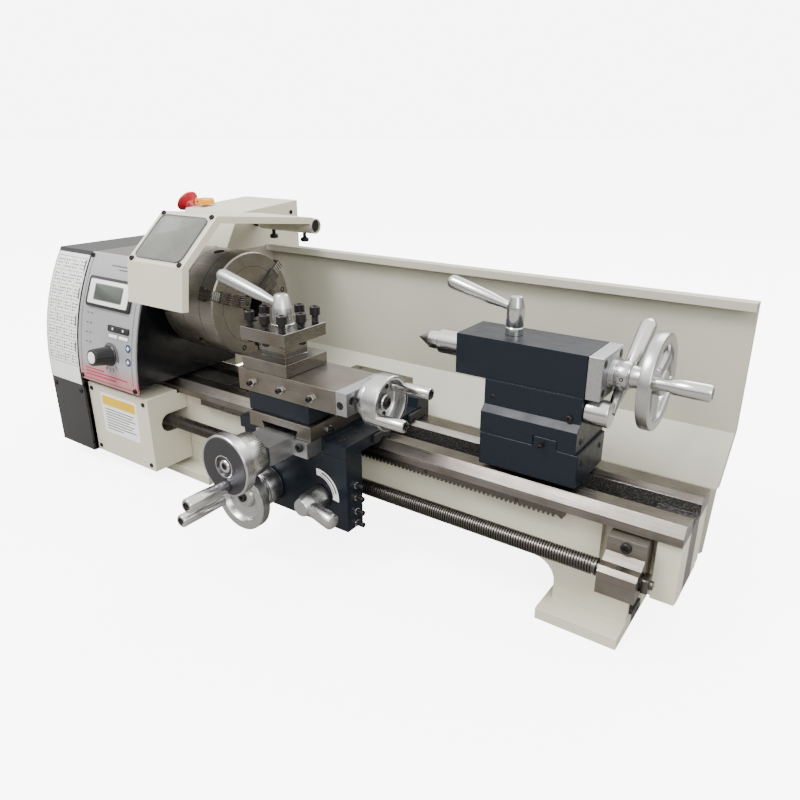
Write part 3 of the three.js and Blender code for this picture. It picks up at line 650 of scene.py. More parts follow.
def leadscrew():
    screw = Part("leadscrew_thread", "leadscrew", "leadscrew_group", (0, -61, -49), "+x")
    screw.thread(radius=8.0, depth=1.4, pitch=2.5, start=-222, end=462)
    screw.turned([
        (-282, 6.6), (-281, 7), (-222, 7), (-221.5, 6.6), (464.5, 6.6), (465, 8), (466.5, 8), (467, 5.9),
        (505, 5.9),
    ], sides=40)
    screw.prism(rounded(13, 13, 1.2, 3), 505, 511, edge=0.8)
    screw.turned([(511, 4), (513.4, 4), (514, 3.4)], sides=24)
    screw.done(replaces=["leadscrew"])


# ---------------------------------------------------------------- chuck and spindle
JAW_ANGLES = (160, 40, -80)


def jaw_details(jaw, turn):
    """The scroll teeth at a jaw's back, the serrations on its two steps, and its screw."""
    # the teeth and serrations take a lighter satin steel than the jaw body: a painted highlight on the ridges
    grips = Part(f"{jaw}_grips", "satin", jaw, SPINDLE, turn)
    for k in range(6):
        x = 1.2 + 2.1 * k
        grips.block((x, 16.1, -6.6), (x + 1.1, 16.9, 6.6), edge=0.15)
    for radius, x in ((28, 9.2), (41, 4.2)):
        for k in range(5):
            z = -6 + 2.6 * k
            grips.block((x, radius - 0.1, z), (x + 4, radius + 0.35, z + 1.1), edge=0.1)
    for k in range(4):
        y = 53.6 + 3 * k
        grips.block((0.9, y, -4.9), (1.5, y + 1.6, 4.9), edge=0.15)
    grips.done()
    Part(f"{jaw}_screw", "screw", jaw, SPINDLE, turn).cap_screw((13.2, 22.2, 0), "+x", 3.0, 1.0).done()


def chuck_details():
    seam = Part("chuck_seam", "brass", "spindle_group", SPINDLE, "+x")
    seam.turned([(-71.6, 61), (-71.6, 62.3), (-70.9, 62.3), (-70.9, 61)], sides=96, closed=True).done()
    groove = Part("chuck_grooves", "screw", "spindle_group", SPINDLE, "+x")
    for x in (-52.5, -22.0):
        groove.turned([(x, 61.5), (x, 62.56), (x + 0.5, 62.56), (x + 0.5, 61.5)], sides=96, closed=True)
    groove.turned([(-1, 45.6), (0.05, 45.6), (0.05, 46), (-1, 46)], sides=96, closed=True).done()
    screws = Part("chuck_screws", "screw", "spindle_group", SPINDLE, "+x")
    for angle in JAW_ANGLES:
        for radius in (31, 53):
            screws.cap_screw(rotation("Z", angle + 150) @ Vector((0, -radius, -2.6)), "+z", 3.6, 2.9)
    screws.done()
    for i, angle in enumerate(JAW_ANGLES):
        jaw_details(f"jaw_{i + 1}", rotation("X", angle))


# ---------------------------------------------------------------- handwheels, dials and grips
def dial(name, body, place, along, radius, start, end, count=50):
    """A graduated collar: bright ring, black marks and a small black set screw."""
    Part(name + "_collar", "aluminium", body, place, along).turned([
        (start, radius - 1.4), (start + 0.4, radius - 0.2), (start + 0.9, radius), (end - 0.9, radius),
        (end - 0.4, radius - 0.3), (end, radius - 1.6),
    ], sides=96).done()
    marks = Part(name + "_marks", "screw", body, place, along)
    long, short = (end - start) * 0.5, (end - start) * 0.3
    marks.ticks(radius, start + 1.0, [long, short, short, short, short], count)
    marks.cap_screw((0, -radius + 0.8, (start + end) / 2 + 1), rotation("X", 90), 1.8, 1.0).done()


def grip(name, node, body, place, along, start, end, small, big):
    """A turned machine handle: narrow neck, long soft barrel, and a socket in its end."""
    length = end - start
    Part(name, "bright", body, place, along).turned([
        (start, small), (start + 0.8, small + 0.2), (start + length * 0.28, small + 0.3),
        (start + length * 0.34, big * 0.95), (start + length * 0.6, big), (end - 1.6, big),
        (end - 0.4, big * 0.9), (end, big * 0.76), (end, big * 0.62), (end - 2.6, big * 0.6),
        (end - 2.6, big * 0.2),
    ], sides=48).done(replaces=[node] if node else ())
    socket = Part(name + "_socket", "screw", body, place, along)
    socket.cap_screw((0, 0, end - 2.7), "+z", big * 0.5, 1.6).done()


def rounded_rim(outer, inner, front, back, ease):
    """Closed profile of a handwheel rim with soft edges."""
    part = ease * 0.35
    return [
        (front, inner + ease), (front, outer - ease), (front + part, outer - part), (front + ease, outer),
        (back - ease, outer), (back - part, outer - part), (back, outer - ease), (back, inner + ease),
        (back - part, inner + part), (back - ease, inner), (front + ease, inner),
        (front + part, inner + part),
    ]


def spokes(part, count, inner, outer, front, back, narrow, wide):
    """Spokes of oval section, wide at both ends and narrow in the middle."""
    sides = 12
    middle, half_depth = (front + back) / 2, (back - front) / 2
    for i in range(count):
        loops = []
        for radius, half in ((inner, wide), ((inner + outer) / 2, narrow), (outer, wide)):
            angles = [2 * math.pi * k / sides for k in range(sides)]
            loops.append([
                (radius, half * math.cos(angle), middle + half_depth * math.sin(angle)) for angle in angles
            ])
        part.loft(loops, Matrix.Rotation(2 * math.pi * i / count, 4, "Z"))


def carriage_wheel():
    body, place, along = "carriage_wheel", (111, 0, -60), "-y"
    Part("carriage_wheel", "aluminium", body, place, along).turned([
        (74, 6), (97, 6), (97, 19), (98, 20), (117, 20), (118, 19), (118, 13), (132.4, 13), (132, 24),
        (132, 34.2), (132.8, 35), (142.2, 35), (143, 34.2), (143, 25.8), (142.4, 25), (136.4, 22.6),
        (133.6, 13), (137, 11), (137.6, 10), (137.6, 3),
    ], sides=96).done(replaces=["carriage_handwheel"])
    Part("carriage_wheel_nut", "screw", body, place, along).cap_screw((0, 0, 137.4), "+z", 5, 3).done()
    dial("carriage_dial", body, place, along, 20.6, 99, 116, count=60)
    grip("carriage_grip", "carriage_handle", body, (84, 0, -69), along, 143.2, 198, 6.2, 7)


def cross_wheel():
    body, place, along = "cross_wheel", (148, 0, 8), "-y"
    Part("cross_wheel", "aluminium", body, place, along).turned([
        (98, 7), (150.4, 7), (150.4, 12), (176, 16), (177, 24), (177, 30), (178, 31), (187.4, 31),
        (188.4, 30.1), (188.6, 29.2), (188.2, 28.6), (188.2, 12.2), (184.2, 12.0), (184.2, 3),
    ], sides=112).done(replaces=["cross_slide_handwheel"])
    # aluminium face, dark as a painted reflection
    Part("cross_wheel_face", "wheel_face", body, place, along).turned([
        (187.6, 28.5), (188.5, 28.5), (188.7, 28.2), (188.7, 11.6), (187.9, 11.0), (184.6, 10.8), (184.6, 3),
    ], sides=96).done()
    hub = Part("cross_wheel_hub", "bright", body, place, along)
    hub.turned([(184.7, 11.4), (188.9, 11.4), (189.0, 11.2), (189.0, 10.4), (185.2, 10.2), (185.2, 3)])
    hub.turned([(184.6, 6.4), (187.6, 6.4), (188.4, 5.8), (188.4, 3.6), (187.0, 3.4), (187.0, 1)], sides=48)
    hub.done()
    Part("cross_wheel_nut", "screw", body, place, along).cap_screw((0, 0, 186.4), "+z", 3.4, 2.2).done()
    dial("cross_dial", body, place, along, 22, 152.5, 175.5, count=60)
    grip("cross_grip", "cross_slide_handle", body, (149, 0, -12), along, 189.2, 236, 6.3, 7.2)


def top_wheel():
    body, place, along = "top_slide_wheel", (0, -80, 62), "+x"
    Part("top_wheel_cup", "aluminium", body, place, along).turned([
        (223, 6), (235.4, 6), (235.4, 17), (236.4, 18), (245, 19.4), (246, 25), (247.2, 26.6), (248.6, 27),
        (262.6, 27), (263.8, 26.2), (264, 24.8), (263.4, 23.2), (262, 22.6), (251.4, 22.2), (250.4, 21.2),
        (250.2, 9), (251, 8.4), (257, 8), (258, 7), (258, 3),
    ], sides=96).done(replaces=["top_slide_handwheel"])
    dial("top_dial", body, place, along, 20, 236.6, 244.4)
    screws = Part("top_wheel_screws", "screw", body, place, along)
    screws.cap_screw((0, 0, 257.5), "+z", 4.6, 2.4)
    for angle in (20, 140, 260):
        screws.cap_screw(rotation("Z", angle) @ Vector((15.5, 0, 250)), "+z", 2.4, 1.2)
    screws.done()
    for i, (y, z) in enumerate(((-58, 71), (-101, 53))):
        grip(f"top_grip_{i + 1}", None, body, (0, y, z), along, 251, 293.5, 5, 5.9)


def tailstock_wheel():
    body, along = "tailstock_wheel", "+x"
    wheel = Part("tailstock_wheel", "aluminium", body, SPINDLE, along)
    wheel.turned(rounded_rim(outer=42, inner=32.5, front=474, back=484, ease=1.1), sides=112, closed=True)
    wheel.turned([
        (400, 6.3), (446.4, 6.3), (446.4, 12), (458, 12), (459, 10.2), (463, 9.4), (470, 10.2), (473, 11.5),
        (484.6, 11.5), (485.8, 10.6), (486, 4),
    ])
    spokes(wheel, 3, inner=9, outer=34, front=475.5, back=482.5, narrow=5.4, wide=8)
    wheel.done(replaces=["tailstock_handwheel"])
    nut = Part("tailstock_wheel_nut", "bright", body, SPINDLE, along)
    nut.hexagon((0, 0, 486), "+z", 12, 4.4, hole=3.2).done()
    dial("tailstock_dial", body, SPINDLE, along, 13, 446.6, 457.6)
    grip("tailstock_grip", "tailstock_handle", body, (0, -30.5, 114), along, 484.2, 528.4, 5, 7)


# ---------------------------------------------------------------- levers
def lever(name, node, body, hub, arm, radii, look="bright"):
    """A clamp lever: a turned boss on a stud, and a tapered arm that swells to a round end."""
    place, along, boss_profile = hub
    Part(name + "_boss", look, body, place, along).turned(boss_profile, sides=56).done(replaces=[node])
    start, end = arm
    thin, thick = radii
    more = thick - thin
    length = (Vector(end) - Vector(start)).length
    shares = [(0, thin), (0.10, thin), (0.30, thin + more * 0.55), (0.6, thin + more * 0.85), (0.9, thick)]
    profile = [(share * length, radius) for share, radius in shares]
    for step in range(1, 7):
        angle = math.pi / 2 * step / 6
        profile.append((length * (0.9 + 0.1 * math.sin(angle)), thick * math.cos(angle)))
    Part(name + "_arm", look, body, start, pointing(start, end)).turned(profile, sides=40).done()


def levers():
    post = [(119.6, 9.4), (120.6, 10.4), (136, 10.4), (137, 10), (148.4, 7.2), (149.6, 6), (150, 4)]
    lever("tool_post_lever", "tool_post_lever", "tool_post_lever_group", ((130.5, -82, 0), "+z", post),
          ((124.5, -82, 139), (44, -85, 161)), (4.2, 7.6), look="satin")
    lock = [
        (124.8, 8.4), (131, 8.4), (132, 7.7), (133, 8.3), (150, 8.3), (151, 8.1), (159.8, 5.9), (160.8, 4.8),
        (161, 3.2),
    ]
    lever("quill_lock", "quill_lock_lever", "quill_lock", ((346.5, 0, 0), "+z", lock),
          ((341, 0, 150), (274, 0, 167)), (4, 7))
    clamp = [(427.8, 11.2), (428.6, 12), (447.6, 12), (448.6, 11.4), (449, 10), (449, 3)]
    lever("tailstock_clamp", "tailstock_clamp_lever", "tailstock_clamp", ((0, -14, 72), "+x", clamp),
          ((446, -8, 71), (452, 63, 141)), (4.4, 7.8))
    body, place = "half_nut_lever_group", (184, 0, -54)
    knob = [(97.6, 11.4), (98.4, 12), (117, 12), (118, 11.8), (127.2, 9.2), (128, 8.6), (128, 3)]
    lever("half_nut_lever", "half_nut_lever", body, (place, "-y", knob),
          ((184, -119, -54), (225, -124, -59)), (6.2, 8.6), look="aluminium")
    collar = Part("half_nut_lever_collar", "screw", body, place, "-y")
    collar.turned([(96.3, 13.4), (97.4, 13.4), (97.8, 12.6), (97.8, 5)], sides=56)
    collar.cap_screw((7.5, -9.6, 106), rotation("Z", -38) @ rotation("X", 90), 2.2, 0.8).done()
    apron_face = (180, -96, -51)
    plate = Part("half_nut_plate", "white_print", "carriage", apron_face, "-y")
    plate.prism(arc_band(20.5, 28, -6, 92), 0, 0.4).done()
    groove = Part("half_nut_plate_groove", "casting", "carriage", apron_face, "-y")
    groove.prism(arc_band(24.6, 26.2, 12, 76), 0.4, 0.5)
    groove.prism(arc_band(21.6, 22.4, 8, 80), 0.4, 0.5).done()


# ---------------------------------------------------------------- carriage
def locked_screws(name, body, places, along, reach=4.2):
    """Black set screws standing out of their bright lock nuts. The black piece is returned open."""
    black = Part(name + "_screws", "screw", body)
    bright = Part(name + "_nuts", "bright", body)
    for place in places:
        bright.hexagon(place, along, 7, 2.6)
        black.cap_screw(Vector(place) + ALONG[along] @ Vector((0, 0, 2.4)), along, 2.7, reach)
    return black, bright


def sunk_screw(part, place, along="+z", radius=4.8):
    """A socket screw sunk in its counterbore: a black ring painted as the shade in the bore, and the head
    inside it.
    """
    where = axes(place, along)
    # painted shade: a thin black ring stands for the shaded wall of the counterbore
    rim = [(0.02, radius), (0.12, radius), (0.12, radius * 0.86), (0.02, radius * 0.84)]
    part.turned(rim, where, sides=40, closed=True)
    part.cap_screw((0, 0, 0.02), where, radius * 0.78, 0.5)


def carriage_details():
    places = [(219, -83, z) for z in (-36, -50, -66, -80)]
    screws, nuts = locked_screws("saddle", "carriage", places, "+x", reach=8.5)
    for x, y in ((202, -81), (204, -57), (90, -81), (90, -57)):
        sunk_screw(screws, (x, y, 10), radius=6.0)
    for x in (84, 204):
        sunk_screw(screws, (x, 44, 21), radius=5.0)
    for x in (178.7, 123):
        screws.cap_screw((x, -118, 8.4), "-y", 4.4, 3.0)
    screws.done()
    nuts.done()
    front_way = [
        (-52, -1.2), (-44, -1.2), (-39.8, 2.9), (-37.2, 2.9), (-33, -1.2), (-25, -1.2), (-25, 8.4),
        (-52, 8.4),
    ]
    back_way = [(13, -1.2), (15.4, 0), (18.6, 2.9), (20.4, 2.9), (24, -1.2), (40, -1.2), (40, 8.4), (13, 8.4)]
    along_bed = Matrix(((0, 0, 1, 0), (1, 0, 0, 0), (0, 1, 0, 0), (0, 0, 0, 1)))
    for side, start, end in (("right", 219.05, 222.6), ("left", 66.4, 69.95)):
        wiper = Part(f"way_wiper_{side}", "rubber", "carriage", along=along_bed)
        for outline in (front_way, back_way):
            wiper.prism(outline, start, end, edge=0.3)
        wiper.done()
    places = [(190, y, 21.5) for y in (-88, -36, 30)]
    screws, nuts = locked_screws("cross_slide_gib", "cross_slide_group", places, "+x")
    for x in (118, 160):
        screws.cap_screw((x, 58, 31), "+z", 2.6, 0.4)
    screws.done()
    nuts.done()
    places = [(x, -112, 62) for x in (112, 152, 192)]
    screws, nuts = locked_screws("top_slide_gib", "top_slide_group", places, "-y")
    screws.cap_screw((227, -112, 62), "-y", 4.2, 0.3).done()
    nuts.done()


def tool_post_details():
    x, y, top, slot_top = 130.5, -82, 119.3, 106.4
    places = (  # from the post's middle, and how far each screw stands out beyond the lowest
        (-22, -24, 1), (0, -25, 0), (22, -24, 2), (25, 0, 0), (22, 24, 2), (0, 25, 1), (-22, 24, 0),
        (-25, 0, 1),
    )
    screws = Part("tool_clamp_screws", "screw", "tool_post_group")
    for dx, dy, tall in places:
        here = shift(x + dx, y + dy, 0)
        head = top + 6 + tall
        screws.cap_screw((x + dx, y + dy, head), "+z", 5.3, 8.5, socket=3.0)
        screws.turned([(top - 2, 3.4), (head, 3.4)], here, sides=24)
        for k in range(3):  # the turns of thread that show
            z = top + 0.4 + k * 1.7
            screws.turned([(z, 3.35), (z + 0.5, 3.9), (z + 1.0, 3.35)], here, sides=24)
        tip = 102 + tall
        screws.turned([(tip, 2.6), (tip + 1, 3.8), (slot_top, 3.8)], here, sides=24)
    screws.done()
    washer = Part("tool_post_washer", "bright", "tool_post_group", (x, y, 0))
    washer.turned([(119.32, 10), (119.32, 12.6), (120.6, 12.6), (121, 12.2), (121, 10.6)], closed=True).done()


# ---------------------------------------------------------------- tailstock
def tailstock_details():
    quill = ("quill_group", SPINDLE, "+x")
    Part("tailstock_centre_point", "bright", *quill).turned([
        (241, 0.25), (256, 8.8), (257.5, 9.5), (268.1, 9.6), (268.1, 7.4), (338, 6.3),
    ], sides=72).done(replaces=["tailstock_centre"])
    Part("quill_barrel", "bright", *quill).turned([
        (268.5, 7.7), (268.5, 11.4), (269.4, 12.3), (270.5, 12.5), (398, 12.5), (398, 8), (345, 7.7),
    ], sides=72, closed=True).done(replaces=["tailstock_quill"])
    marks = Part("quill_marks", "screw", *quill)
    for i in range(28):
        length = 5.0 if i % 5 == 0 else 3.0
        for k in range(6):
            angle = math.radians(-90) + k * length / 6 / 12.5
            where = Matrix.Rotation(angle, 4, "Z")
            marks.block((12.2, -0.45, 274 + i), (12.56, 0.45, 274.25 + i), edge=0, where=where)
    marks.done()
    screws = Part("tailstock_screws", "screw", "tailstock_group")
    for y in (-19.5, 19.5):
        for z in (92, 118):
            sunk_screw(screws, (441, y, z), "+x", radius=4.2)
    for place in ((430, -22, 24), (430, 24, 24), (427.5, -22, 44)):
        screws.cap_screw(place, "+x", 2.6, 0.8)
    screws.cap_screw((396, -34, 37), "-y", 2.2, 5.5)
    screws.cap_screw((417, -28, 66), "-y", 3.0, 2.4)
    screws.cap_screw((342, -28, 70), "-y", 2.4, 0.6).done()


# ---------------------------------------------------------------- control panel
PANEL_ARC = (199.3, -3.0, 300.3)  # centre y, centre z and radius of the bulging front
FILM = 0.25  # thickness of the printed sheets


def bulge_y(z, lift=0.0):
    y, centre_z, radius = PANEL_ARC
    return y - math.sqrt((radius + lift) ** 2 - (z - centre_z) ** 2)


def on_panel(x, z):
    """Axes lying on the bulging front: X along the bed, Y up the panel and Z straight out of it."""
    lean = math.asin((z - PANEL_ARC[1]) / PANEL_ARC[2])
    return shift(x, bulge_y(z), z) @ Matrix.Rotation(math.radians(90) - lean, 4, "X")


def bulge_sheet(part, x0, x1, z0, z1, lift, steps=None):
    """A thin film that follows the bulging front."""
    steps = steps or max(1, int((z1 - z0) / 6))
    loops = []
    for i in range(steps + 1):
        z = z0 + (z1 - z0) * i / steps
        inner, outer = bulge_y(z, lift - FILM), bulge_y(z, lift)
        loops.append([(x0, outer, z), (x1, outer, z), (x1, inner, z), (x0, inner, z)])
    part.loft(loops)


def display():
    """Bezel, white trim, grey rim and glass, one on top of the other."""
    middle = on_panel(-168, 110.5)
    for name, look, outline, low, high, edge, replaced in (
        ("display_bezel", "black_plastic", rounded(90, 39, 4), -1.0, 2.6, 0.8, ["display_module"]),
        ("display_trim", "white_print", rounded(81, 31, 1.5), 2.6, 3.1, 0.3, ()),
        ("display_rim", "grey_print", rounded(58, 21, 1.2), 3.1, 3.4, 0.15, ()),
        ("display_glass", "lcd", rounded(54, 17.6, 1.0), 3.4, 3.7, 0.1, ()),
    ):
        Part(name, look, FIXED).prism(outline, low, high, middle, edge).done(replaces=replaced)


def panel_print():
    film = Part("panel_print", "grey_print", FIXED)
    for x, z, width in ((-150, 143, 58), (-142, 139, 40)):
        film.prism(rounded(width, 1.4, 0.6), 0.05, 0.35, on_panel(x, z))
    for x in (-208, -200):
        for z in (122, 108, 96, 84, 72, 60, 48):
            low = 2.2 if z > 92 else 0.05
            film.prism(rounded(3.4, 1.6, 0.5), low, low + 0.3, on_panel(x, z))
    film.done()
    switch = Part("switch_plate", "black_plastic", FIXED)
    labels = Part("switch_labels", "white_print", FIXED)
    switch.prism(rounded(42, 8, 1.0), 0, 1.6, on_panel(-141.5, 71.5), edge=0.4)
    for x in (-152, -131):
        switch.prism(rounded(19, 5.4, 0.8), 0, 0.4, on_panel(x, 62.5))
        labels.prism(rounded(2.4, 2.8, 0.6), 1.6, 1.8, on_panel(x, 71.5))
        labels.prism(rounded(18, 4.4, 0.6), 0.4, 0.55, on_panel(x, 62.5))
    switch.done()
    labels.done()
    border = Part("panel_border", "grey_print", FIXED)
    for x in (-114.4, -221.5):
        bulge_sheet(border, x, x + 0.6, 6, 150, FILM)
    bulge_sheet(border, -221.5, -113.8, -1.2, -0.6, FILM, steps=1)
    border.done()
    icons = Part("panel_icons", "blue_print", FIXED)
    pictograms = Part("panel_pictograms", "white_print", FIXED)
    for z in (52, 35):
        here = on_panel(-121, z)
        icons.turned([(0, 5.0), (0.4, 5.0), (0.5, 4.6)], here, sides=32)
        for width, height in ((5.2, 2.0), (2.0, 5.2)):
            pictograms.prism(rounded(width, height, 0.7), 0.5, 0.7, here)
    icons.done()
    pictograms.done()


def speed_knob():
    base = on_panel(-158.4, 37.4)
    scale = Part("knob_scale", "grey_print", FIXED)
    wedge = []
    for i in range(19):  # swells as it goes round the knob
        angle = math.radians(132 - 8.5 * i)
        radius = 15.2 + 0.24 * i
        wedge.append((math.cos(angle) * radius, math.sin(angle) * radius))
    scale.prism(wedge + arc(14.7, -21, 132), 0.05, 0.35, base)
    for i in range(4):
        mark = [(16, -0.5), (21.6, -0.5), (21.6, 0.5), (16, 0.5)]
        scale.prism(mark, 0.05, 0.3, base @ rotation("Z", -48 - 22 * i))
    scale.done()
    knob = Part("knob_skirt", "black_plastic", "speed_knob_group")
    knob.turned([(0.4, 13.6), (1.4, 13.6), (2.4, 12.8), (3.0, 11)], base, sides=72)
    flutes, depth, points = 20, 0.5, 96
    loops = []
    for z, outer in ((3.0, 11.8), (4.0, 11.8), (20, 10.8), (24.4, 10.4), (25.2, 9.8), (25.4, 8.4)):
        loop = []
        for k in range(points):
            angle = 2 * math.pi * k / points
            flute = depth * (0.5 + 0.5 * math.cos(angle * flutes))
            radius = outer - flute if 3.5 < z < 24.8 else outer
            loop.append((radius * math.cos(angle), radius * math.sin(angle), z))
        loops.append(loop)
    knob.loft(loops, base)
    knob.done(replaces=["speed_knob"])
    cap = Part("knob_cap", "white_print", "speed_knob_group")
    cap.turned([(25.2, 7.4), (25.7, 7.2), (25.8, 6.6)], base, sides=48).done()


def panel_details():
    display()
    panel_print()
    speed_knob()
    stripes = Part("panel_red_rows", "red_print", FIXED)
    for i, width in enumerate((40, 88, 64)):
        z = 12.4 - i * 4.2
        bulge_sheet(stripes, -214, -214 + width, z, z + 1.8, 0.2, steps=1)
    stripes.done()
    screws = Part("panel_screws", "screw", FIXED)
    for x, z in ((-224, 151), (-112, 151), (-224, 0), (-111, 0)):
        screws.cap_screw((0, 0, 0), on_panel(x, z), 3.2, 2.2)
    screws.done()


def chart():
    """A white plate on the gear cover with plain rows of gear symbols, without lettering."""
    sheet = Part("cover_chart", "white_print", FIXED)
    bulge_sheet(sheet, -301, -230.5, -16, 150, 0.35)
    sheet.done(sharp=60)
    ink = Part("cover_chart_rows", "grey_print", FIXED)
    rows, lift = 9, 0.5
    for row in range(rows):
        z = 142 - row * 17
        bulge_sheet(ink, -299, -232.5, z + 3.2, z + 3.7, lift, steps=1)
        if row == rows - 1:
            break
        for col in range(4):
            x = -294 + col * 17
            for k in range(3):
                height = z - 1.2 - k * 4.0
                width = (8, 5.5, 3)[(k + col + row) % 3]
                ink.turned([(0.35, 1.35), (0.55, 1.35)], on_panel(x, height), sides=16)
                bulge_sheet(ink, x + 3, x + 3 + width, height - 0.55, height + 0.55, lift, steps=1)
        if row % 2 == 0:
            bulge_sheet(ink, -235.5, -232.5, z - 11, z + 2, lift, steps=2)
    for x in (-299, -282.4, -265.4, -248.4, -232.9):
        bulge_sheet(ink, x, x + 0.4, 9, 145.7, lift)
    ink.done()
    screws = Part("cover_screws", "screw", FIXED)
    for x in (-296, -236):
        screws.cap_screw((0, 0, 0), on_panel(x, -26), 3.4, 2.0)
    for y, z in ((-60, 60), (40, 140), (150, 120), (60, -60), (150, 40)):
        flat_head = [(302.6, 4.4), (302.95, 4.2), (302.95, 1.6), (302.7, 1.5)]
        screws.turned(flat_head, axes((0, y, z), "-x"), sides=32)
    screws.done()


def notice():
    """A white plate on the leadscrew cover with an amber band and plain rows, without lettering."""
    plate = Part("notice_plate", "white_print", FIXED)
    plate.prism(rounded(76, 56, 3), 0, 0.4, axes((-164, -94, -50), "-y")).done()
    band = Part("notice_band", "yellow_print", FIXED)
    band.prism(rounded(70, 13, 1.5), 0.4, 0.55, axes((-164, -94, -31.5), "-y")).done()
    rows = Part("notice_rows", "grey_print", FIXED)
    for i, width in enumerate((62, 58, 64, 50, 60, 55, 63, 34)):
        row = [(-32, -0.7), (-32 + width, -0.7), (-32 + width, 0.7), (-32, 0.7)]
        rows.prism(row, 0.4, 0.5, axes((-164, -94, -43.5 - i * 4), "-y"))
    rows.done()
    places = [(x, -94, z) for x in (-220, -110) for z in (-104, -20)]
    cap_screws("lead_cover_screws", FIXED, places, "-y", 2.9, 1.5)


# ---------------------------------------------------------------- headstock
def stop_button():
    """The emergency stop: a mushroom on a leaning axis, and its yellow housing with red lugs."""
    axis = rotation("Y", -53) @ shift(-10, 0, 0)
    Part("stop_mushroom", "red", "estop_button_group", (-219, 112, 201)).turned([
        (5.6, 7.9), (12.4, 7.9), (13.4, 9.2), (15.4, 13), (17.4, 15.8), (18.6, 16.7), (19.8, 16.8),
        (21, 15.6), (22.2, 12.6), (22.8, 8), (23, 3),
    ], axis, sides=72).done(replaces=["estop_button"])
    Part("stop_housing", "yellow", FIXED).prism([
        (-212, 202), (-192.2, 202), (-192.2, 208), (-195, 210.8), (-201, 210.8), (-203, 208.6),
        (-206, 208.6), (-208, 210.8), (-210.5, 210.8), (-212, 209),
    ], 0, 19.8, axes((0, 121.9, 0), "-y"), edge=1.0).done(replaces=["estop_base"])
    lugs = Part("stop_lugs", "dark_red", FIXED)
    for y in (103, 118):
        lugs.block((-217.4, y, 201.6), (-211.8, y + 3, 208), edge=0.6)
    lugs.done()
    Part("stop_latch", "red", FIXED).block((-208, 101.9, 204), (-204, 104, 208), edge=0.5).done()


def headstock_details():
    cap_screws("head_screws", FIXED, [(-220, 50, 155), (-116, 50, 155)], "+z", 3.8, 2.6)
    collar = Part("spindle_cover", "bright", FIXED, SPINDLE, "+x")
    ring = [(-107.2, 27), (-107.2, 40), (-106.6, 41), (-105, 41), (-104.4, 40), (-104.4, 27)]
    collar.turned(ring, sides=96, closed=True)
    for x, y, _ in circle(34, 0, 6):
        collar.cap_screw((x, y, -104.6), "+z", 2.2, 0.5)
    collar.done()
    stop_button()
    # black strips stand for the louvre slots; their darkness is painted shade from inside the box
    louvres = Part("box_louvres", "head", FIXED, (0, 204.4, 0), "+y")
    for i in range(9):
        for x in (-187, -141):
            louvres.prism(rounded(36, 3.2, 1.5), 0, 0.55, shift(x, -22 - i * 11, 0))
    louvres.done()
    screws = Part("box_screws", "screw", FIXED)
    for x in (-210, -118):
        for z in (6, 70, 134, 192):
            screws.cap_screw((x, 204.6, z), "+y", 3, 0.4)
    for y, z in ((80, 0), (190, 0), (120, 180), (190, 190)):
        screws.cap_screw((-109.6, y, z), "+x", 3, 1.6)
    screws.cap_screw((-109.6, 199, 168), "+x", 5.2, 5).done()


# ---------------------------------------------------------------- guards
def guard_details():
    body = "guard_group"
    slope_low, slope_high = Vector((-48, -96.2, 163.1)), Vector((-48, -41.2, 212.4))
    lean = math.atan2(slope_high.z - slope_low.z, slope_high.y - slope_low.y)
    window = Matrix.Translation((slope_low + slope_high) / 2) @ Matrix.Rotation(lean, 4, "X")
    pane = Part("guard_window_pane", "window", body)
    pane.prism(rounded(79, 62, 7, 8), 0.15, 1.9, window, edge=0.5).done(replaces=["guard_window"])
    outer, inner = rounded(80.4, 63.4, 7.6, 8), rounded(77.6, 60.6, 6.4, 8)
    section = ((outer, 0.1), (outer, 2.1), (inner, 2.1), (inner, 0.1), (outer, 0.1))
    loops = [[(x, y, z) for x, y in outline] for outline, z in section]
    Part("guard_window_seal", "grey_print", body).loft(loops, window, cap=False).done()
    screws = Part("guard_screws", "screw", body)
    for x in (-41.5, 41.5):
        for y in (-34, 34):
            screws.cap_screw((0, 0, 0), window @ shift(x, y, 0.1), 3.1, 2.2)
    screws.done()
    knobs = Part("guard_thumb_screws", "screw", body)
    for x in (-76, -20):
        knob = [(163.6, 3.6), (164.6, 5.6), (168, 5.6), (169, 4.6), (170, 2.4), (176.5, 2.4)]
        knobs.turned(knob, shift(x, 120, 0), sides=24)
    knobs.done()
    end = Part("guard_tube_ring", "bright", body, (0, 120, 185), "+x")
    end.turned([(-0.5, 8.1), (-0.5, 9.6), (0.6, 9.6), (0.9, 9.2), (0.9, 8.1)], sides=48, closed=True).done()
    places = [(x, 82.9, -42) for x in (20, 43, 66, 430, 453, 476)]
    cap_screws("splash_guard_screws", FIXED, places, "-y", 2.8, 1.6)


bed_details()
leadscrew()
chuck_details()
carriage_wheel()
cross_wheel()
top_wheel()
tailstock_wheel()
levers()
carriage_details()
tool_post_details()
tailstock_details()
panel_details()
chart()
notice()
headstock_details()
guard_details()


# ---------------------------------------------------------------- stage
WHITE_GLOW = 7.0  # how bright the backdrop is for the camera alone
FLOOR_GLOW = 5.5  # the same for the floor, which the lamps light as well
LAMPS = (  # name, place in metres, size in metres, power in watts
    ("key", (-0.4, -1.4, 2.5), 0.9, 84),
    ("fill", (2.0, -1.3, 1.2), 1.2, 26),
    ("rim", (0.6, 1.8, 1.9), 1.4, 34),
)
LAMPS_AIM = (0.28, 0, 0.15)


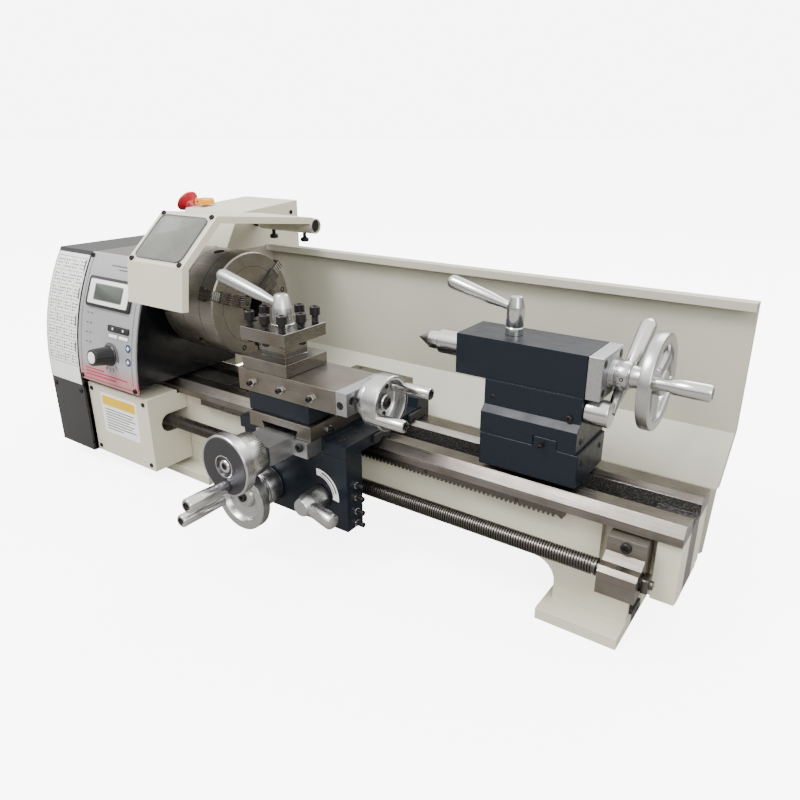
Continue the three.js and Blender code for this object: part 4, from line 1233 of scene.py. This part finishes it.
def make_world():
    """A bright room: soft light from above, dimmer walls, and a plain white background."""
    world = bpy.data.worlds.new("studio")
    world.use_nodes = True
    tree = world.node_tree
    room = tree.nodes["Background"]
    split = tree.nodes.new("ShaderNodeSeparateXYZ")
    tree.links.new(tree.nodes.new("ShaderNodeTexCoord").outputs["Generated"], split.inputs[0])
    light = tree.nodes.new("ShaderNodeMapRange")
    light.interpolation_type = "SMOOTHSTEP"
    for key, value in (("From Min", -0.05), ("From Max", 0.55), ("To Min", 0.16), ("To Max", 2.3)):
        light.inputs[key].default_value = value
    tree.links.new(split.outputs[2], light.inputs["Value"])
    tree.links.new(light.outputs[0], room.inputs["Strength"])
    room.inputs["Color"].default_value = (1.0, 0.99, 0.97, 1)
    backdrop = tree.nodes.new("ShaderNodeBackground")
    backdrop.inputs["Color"].default_value = (1, 1, 1, 1)
    backdrop.inputs["Strength"].default_value = WHITE_GLOW
    mix = tree.nodes.new("ShaderNodeMixShader")
    tree.links.new(tree.nodes.new("ShaderNodeLightPath").outputs["Is Camera Ray"], mix.inputs[0])
    tree.links.new(room.outputs[0], mix.inputs[1])
    tree.links.new(backdrop.outputs[0], mix.inputs[2])
    tree.links.new(mix.outputs[0], tree.nodes["World Output"].inputs["Surface"])
    bpy.context.scene.world = world


def make_stage():
    bpy.ops.mesh.primitive_plane_add(size=60, location=(0.25, 0, -0.0005))
    floor = bpy.context.object
    floor.name = "floor"
    look = Look("pale floor")
    tree = look.material.node_tree
    seen = tree.nodes.new("ShaderNodeLightPath").outputs["Is Camera Ray"]
    paint = look.blend(look.noise(3), (0.90, 0.90, 0.89), (0.93, 0.93, 0.92))
    look.put("Base Color", look.blend(seen, (0.26, 0.25, 0.235), paint))
    look.put("Roughness", 0.8)
    look.put("Emission Color", (1, 1, 1))
    look.put("Emission Strength", look.math("MULTIPLY", seen, FLOOR_GLOW))
    floor.data.materials.append(look.material)
    for name, place, size, power in LAMPS:
        lamp = bpy.data.lights.new(name, "AREA")
        lamp.size = size
        lamp.energy = power
        obj = bpy.data.objects.new(name, lamp)
        obj.location = place
        obj.rotation_euler = (Vector(LAMPS_AIM) - Vector(place)).to_track_quat("-Z", "Y").to_euler()
        bpy.context.scene.collection.objects.link(obj)


make_camera()
make_world()
make_stage()
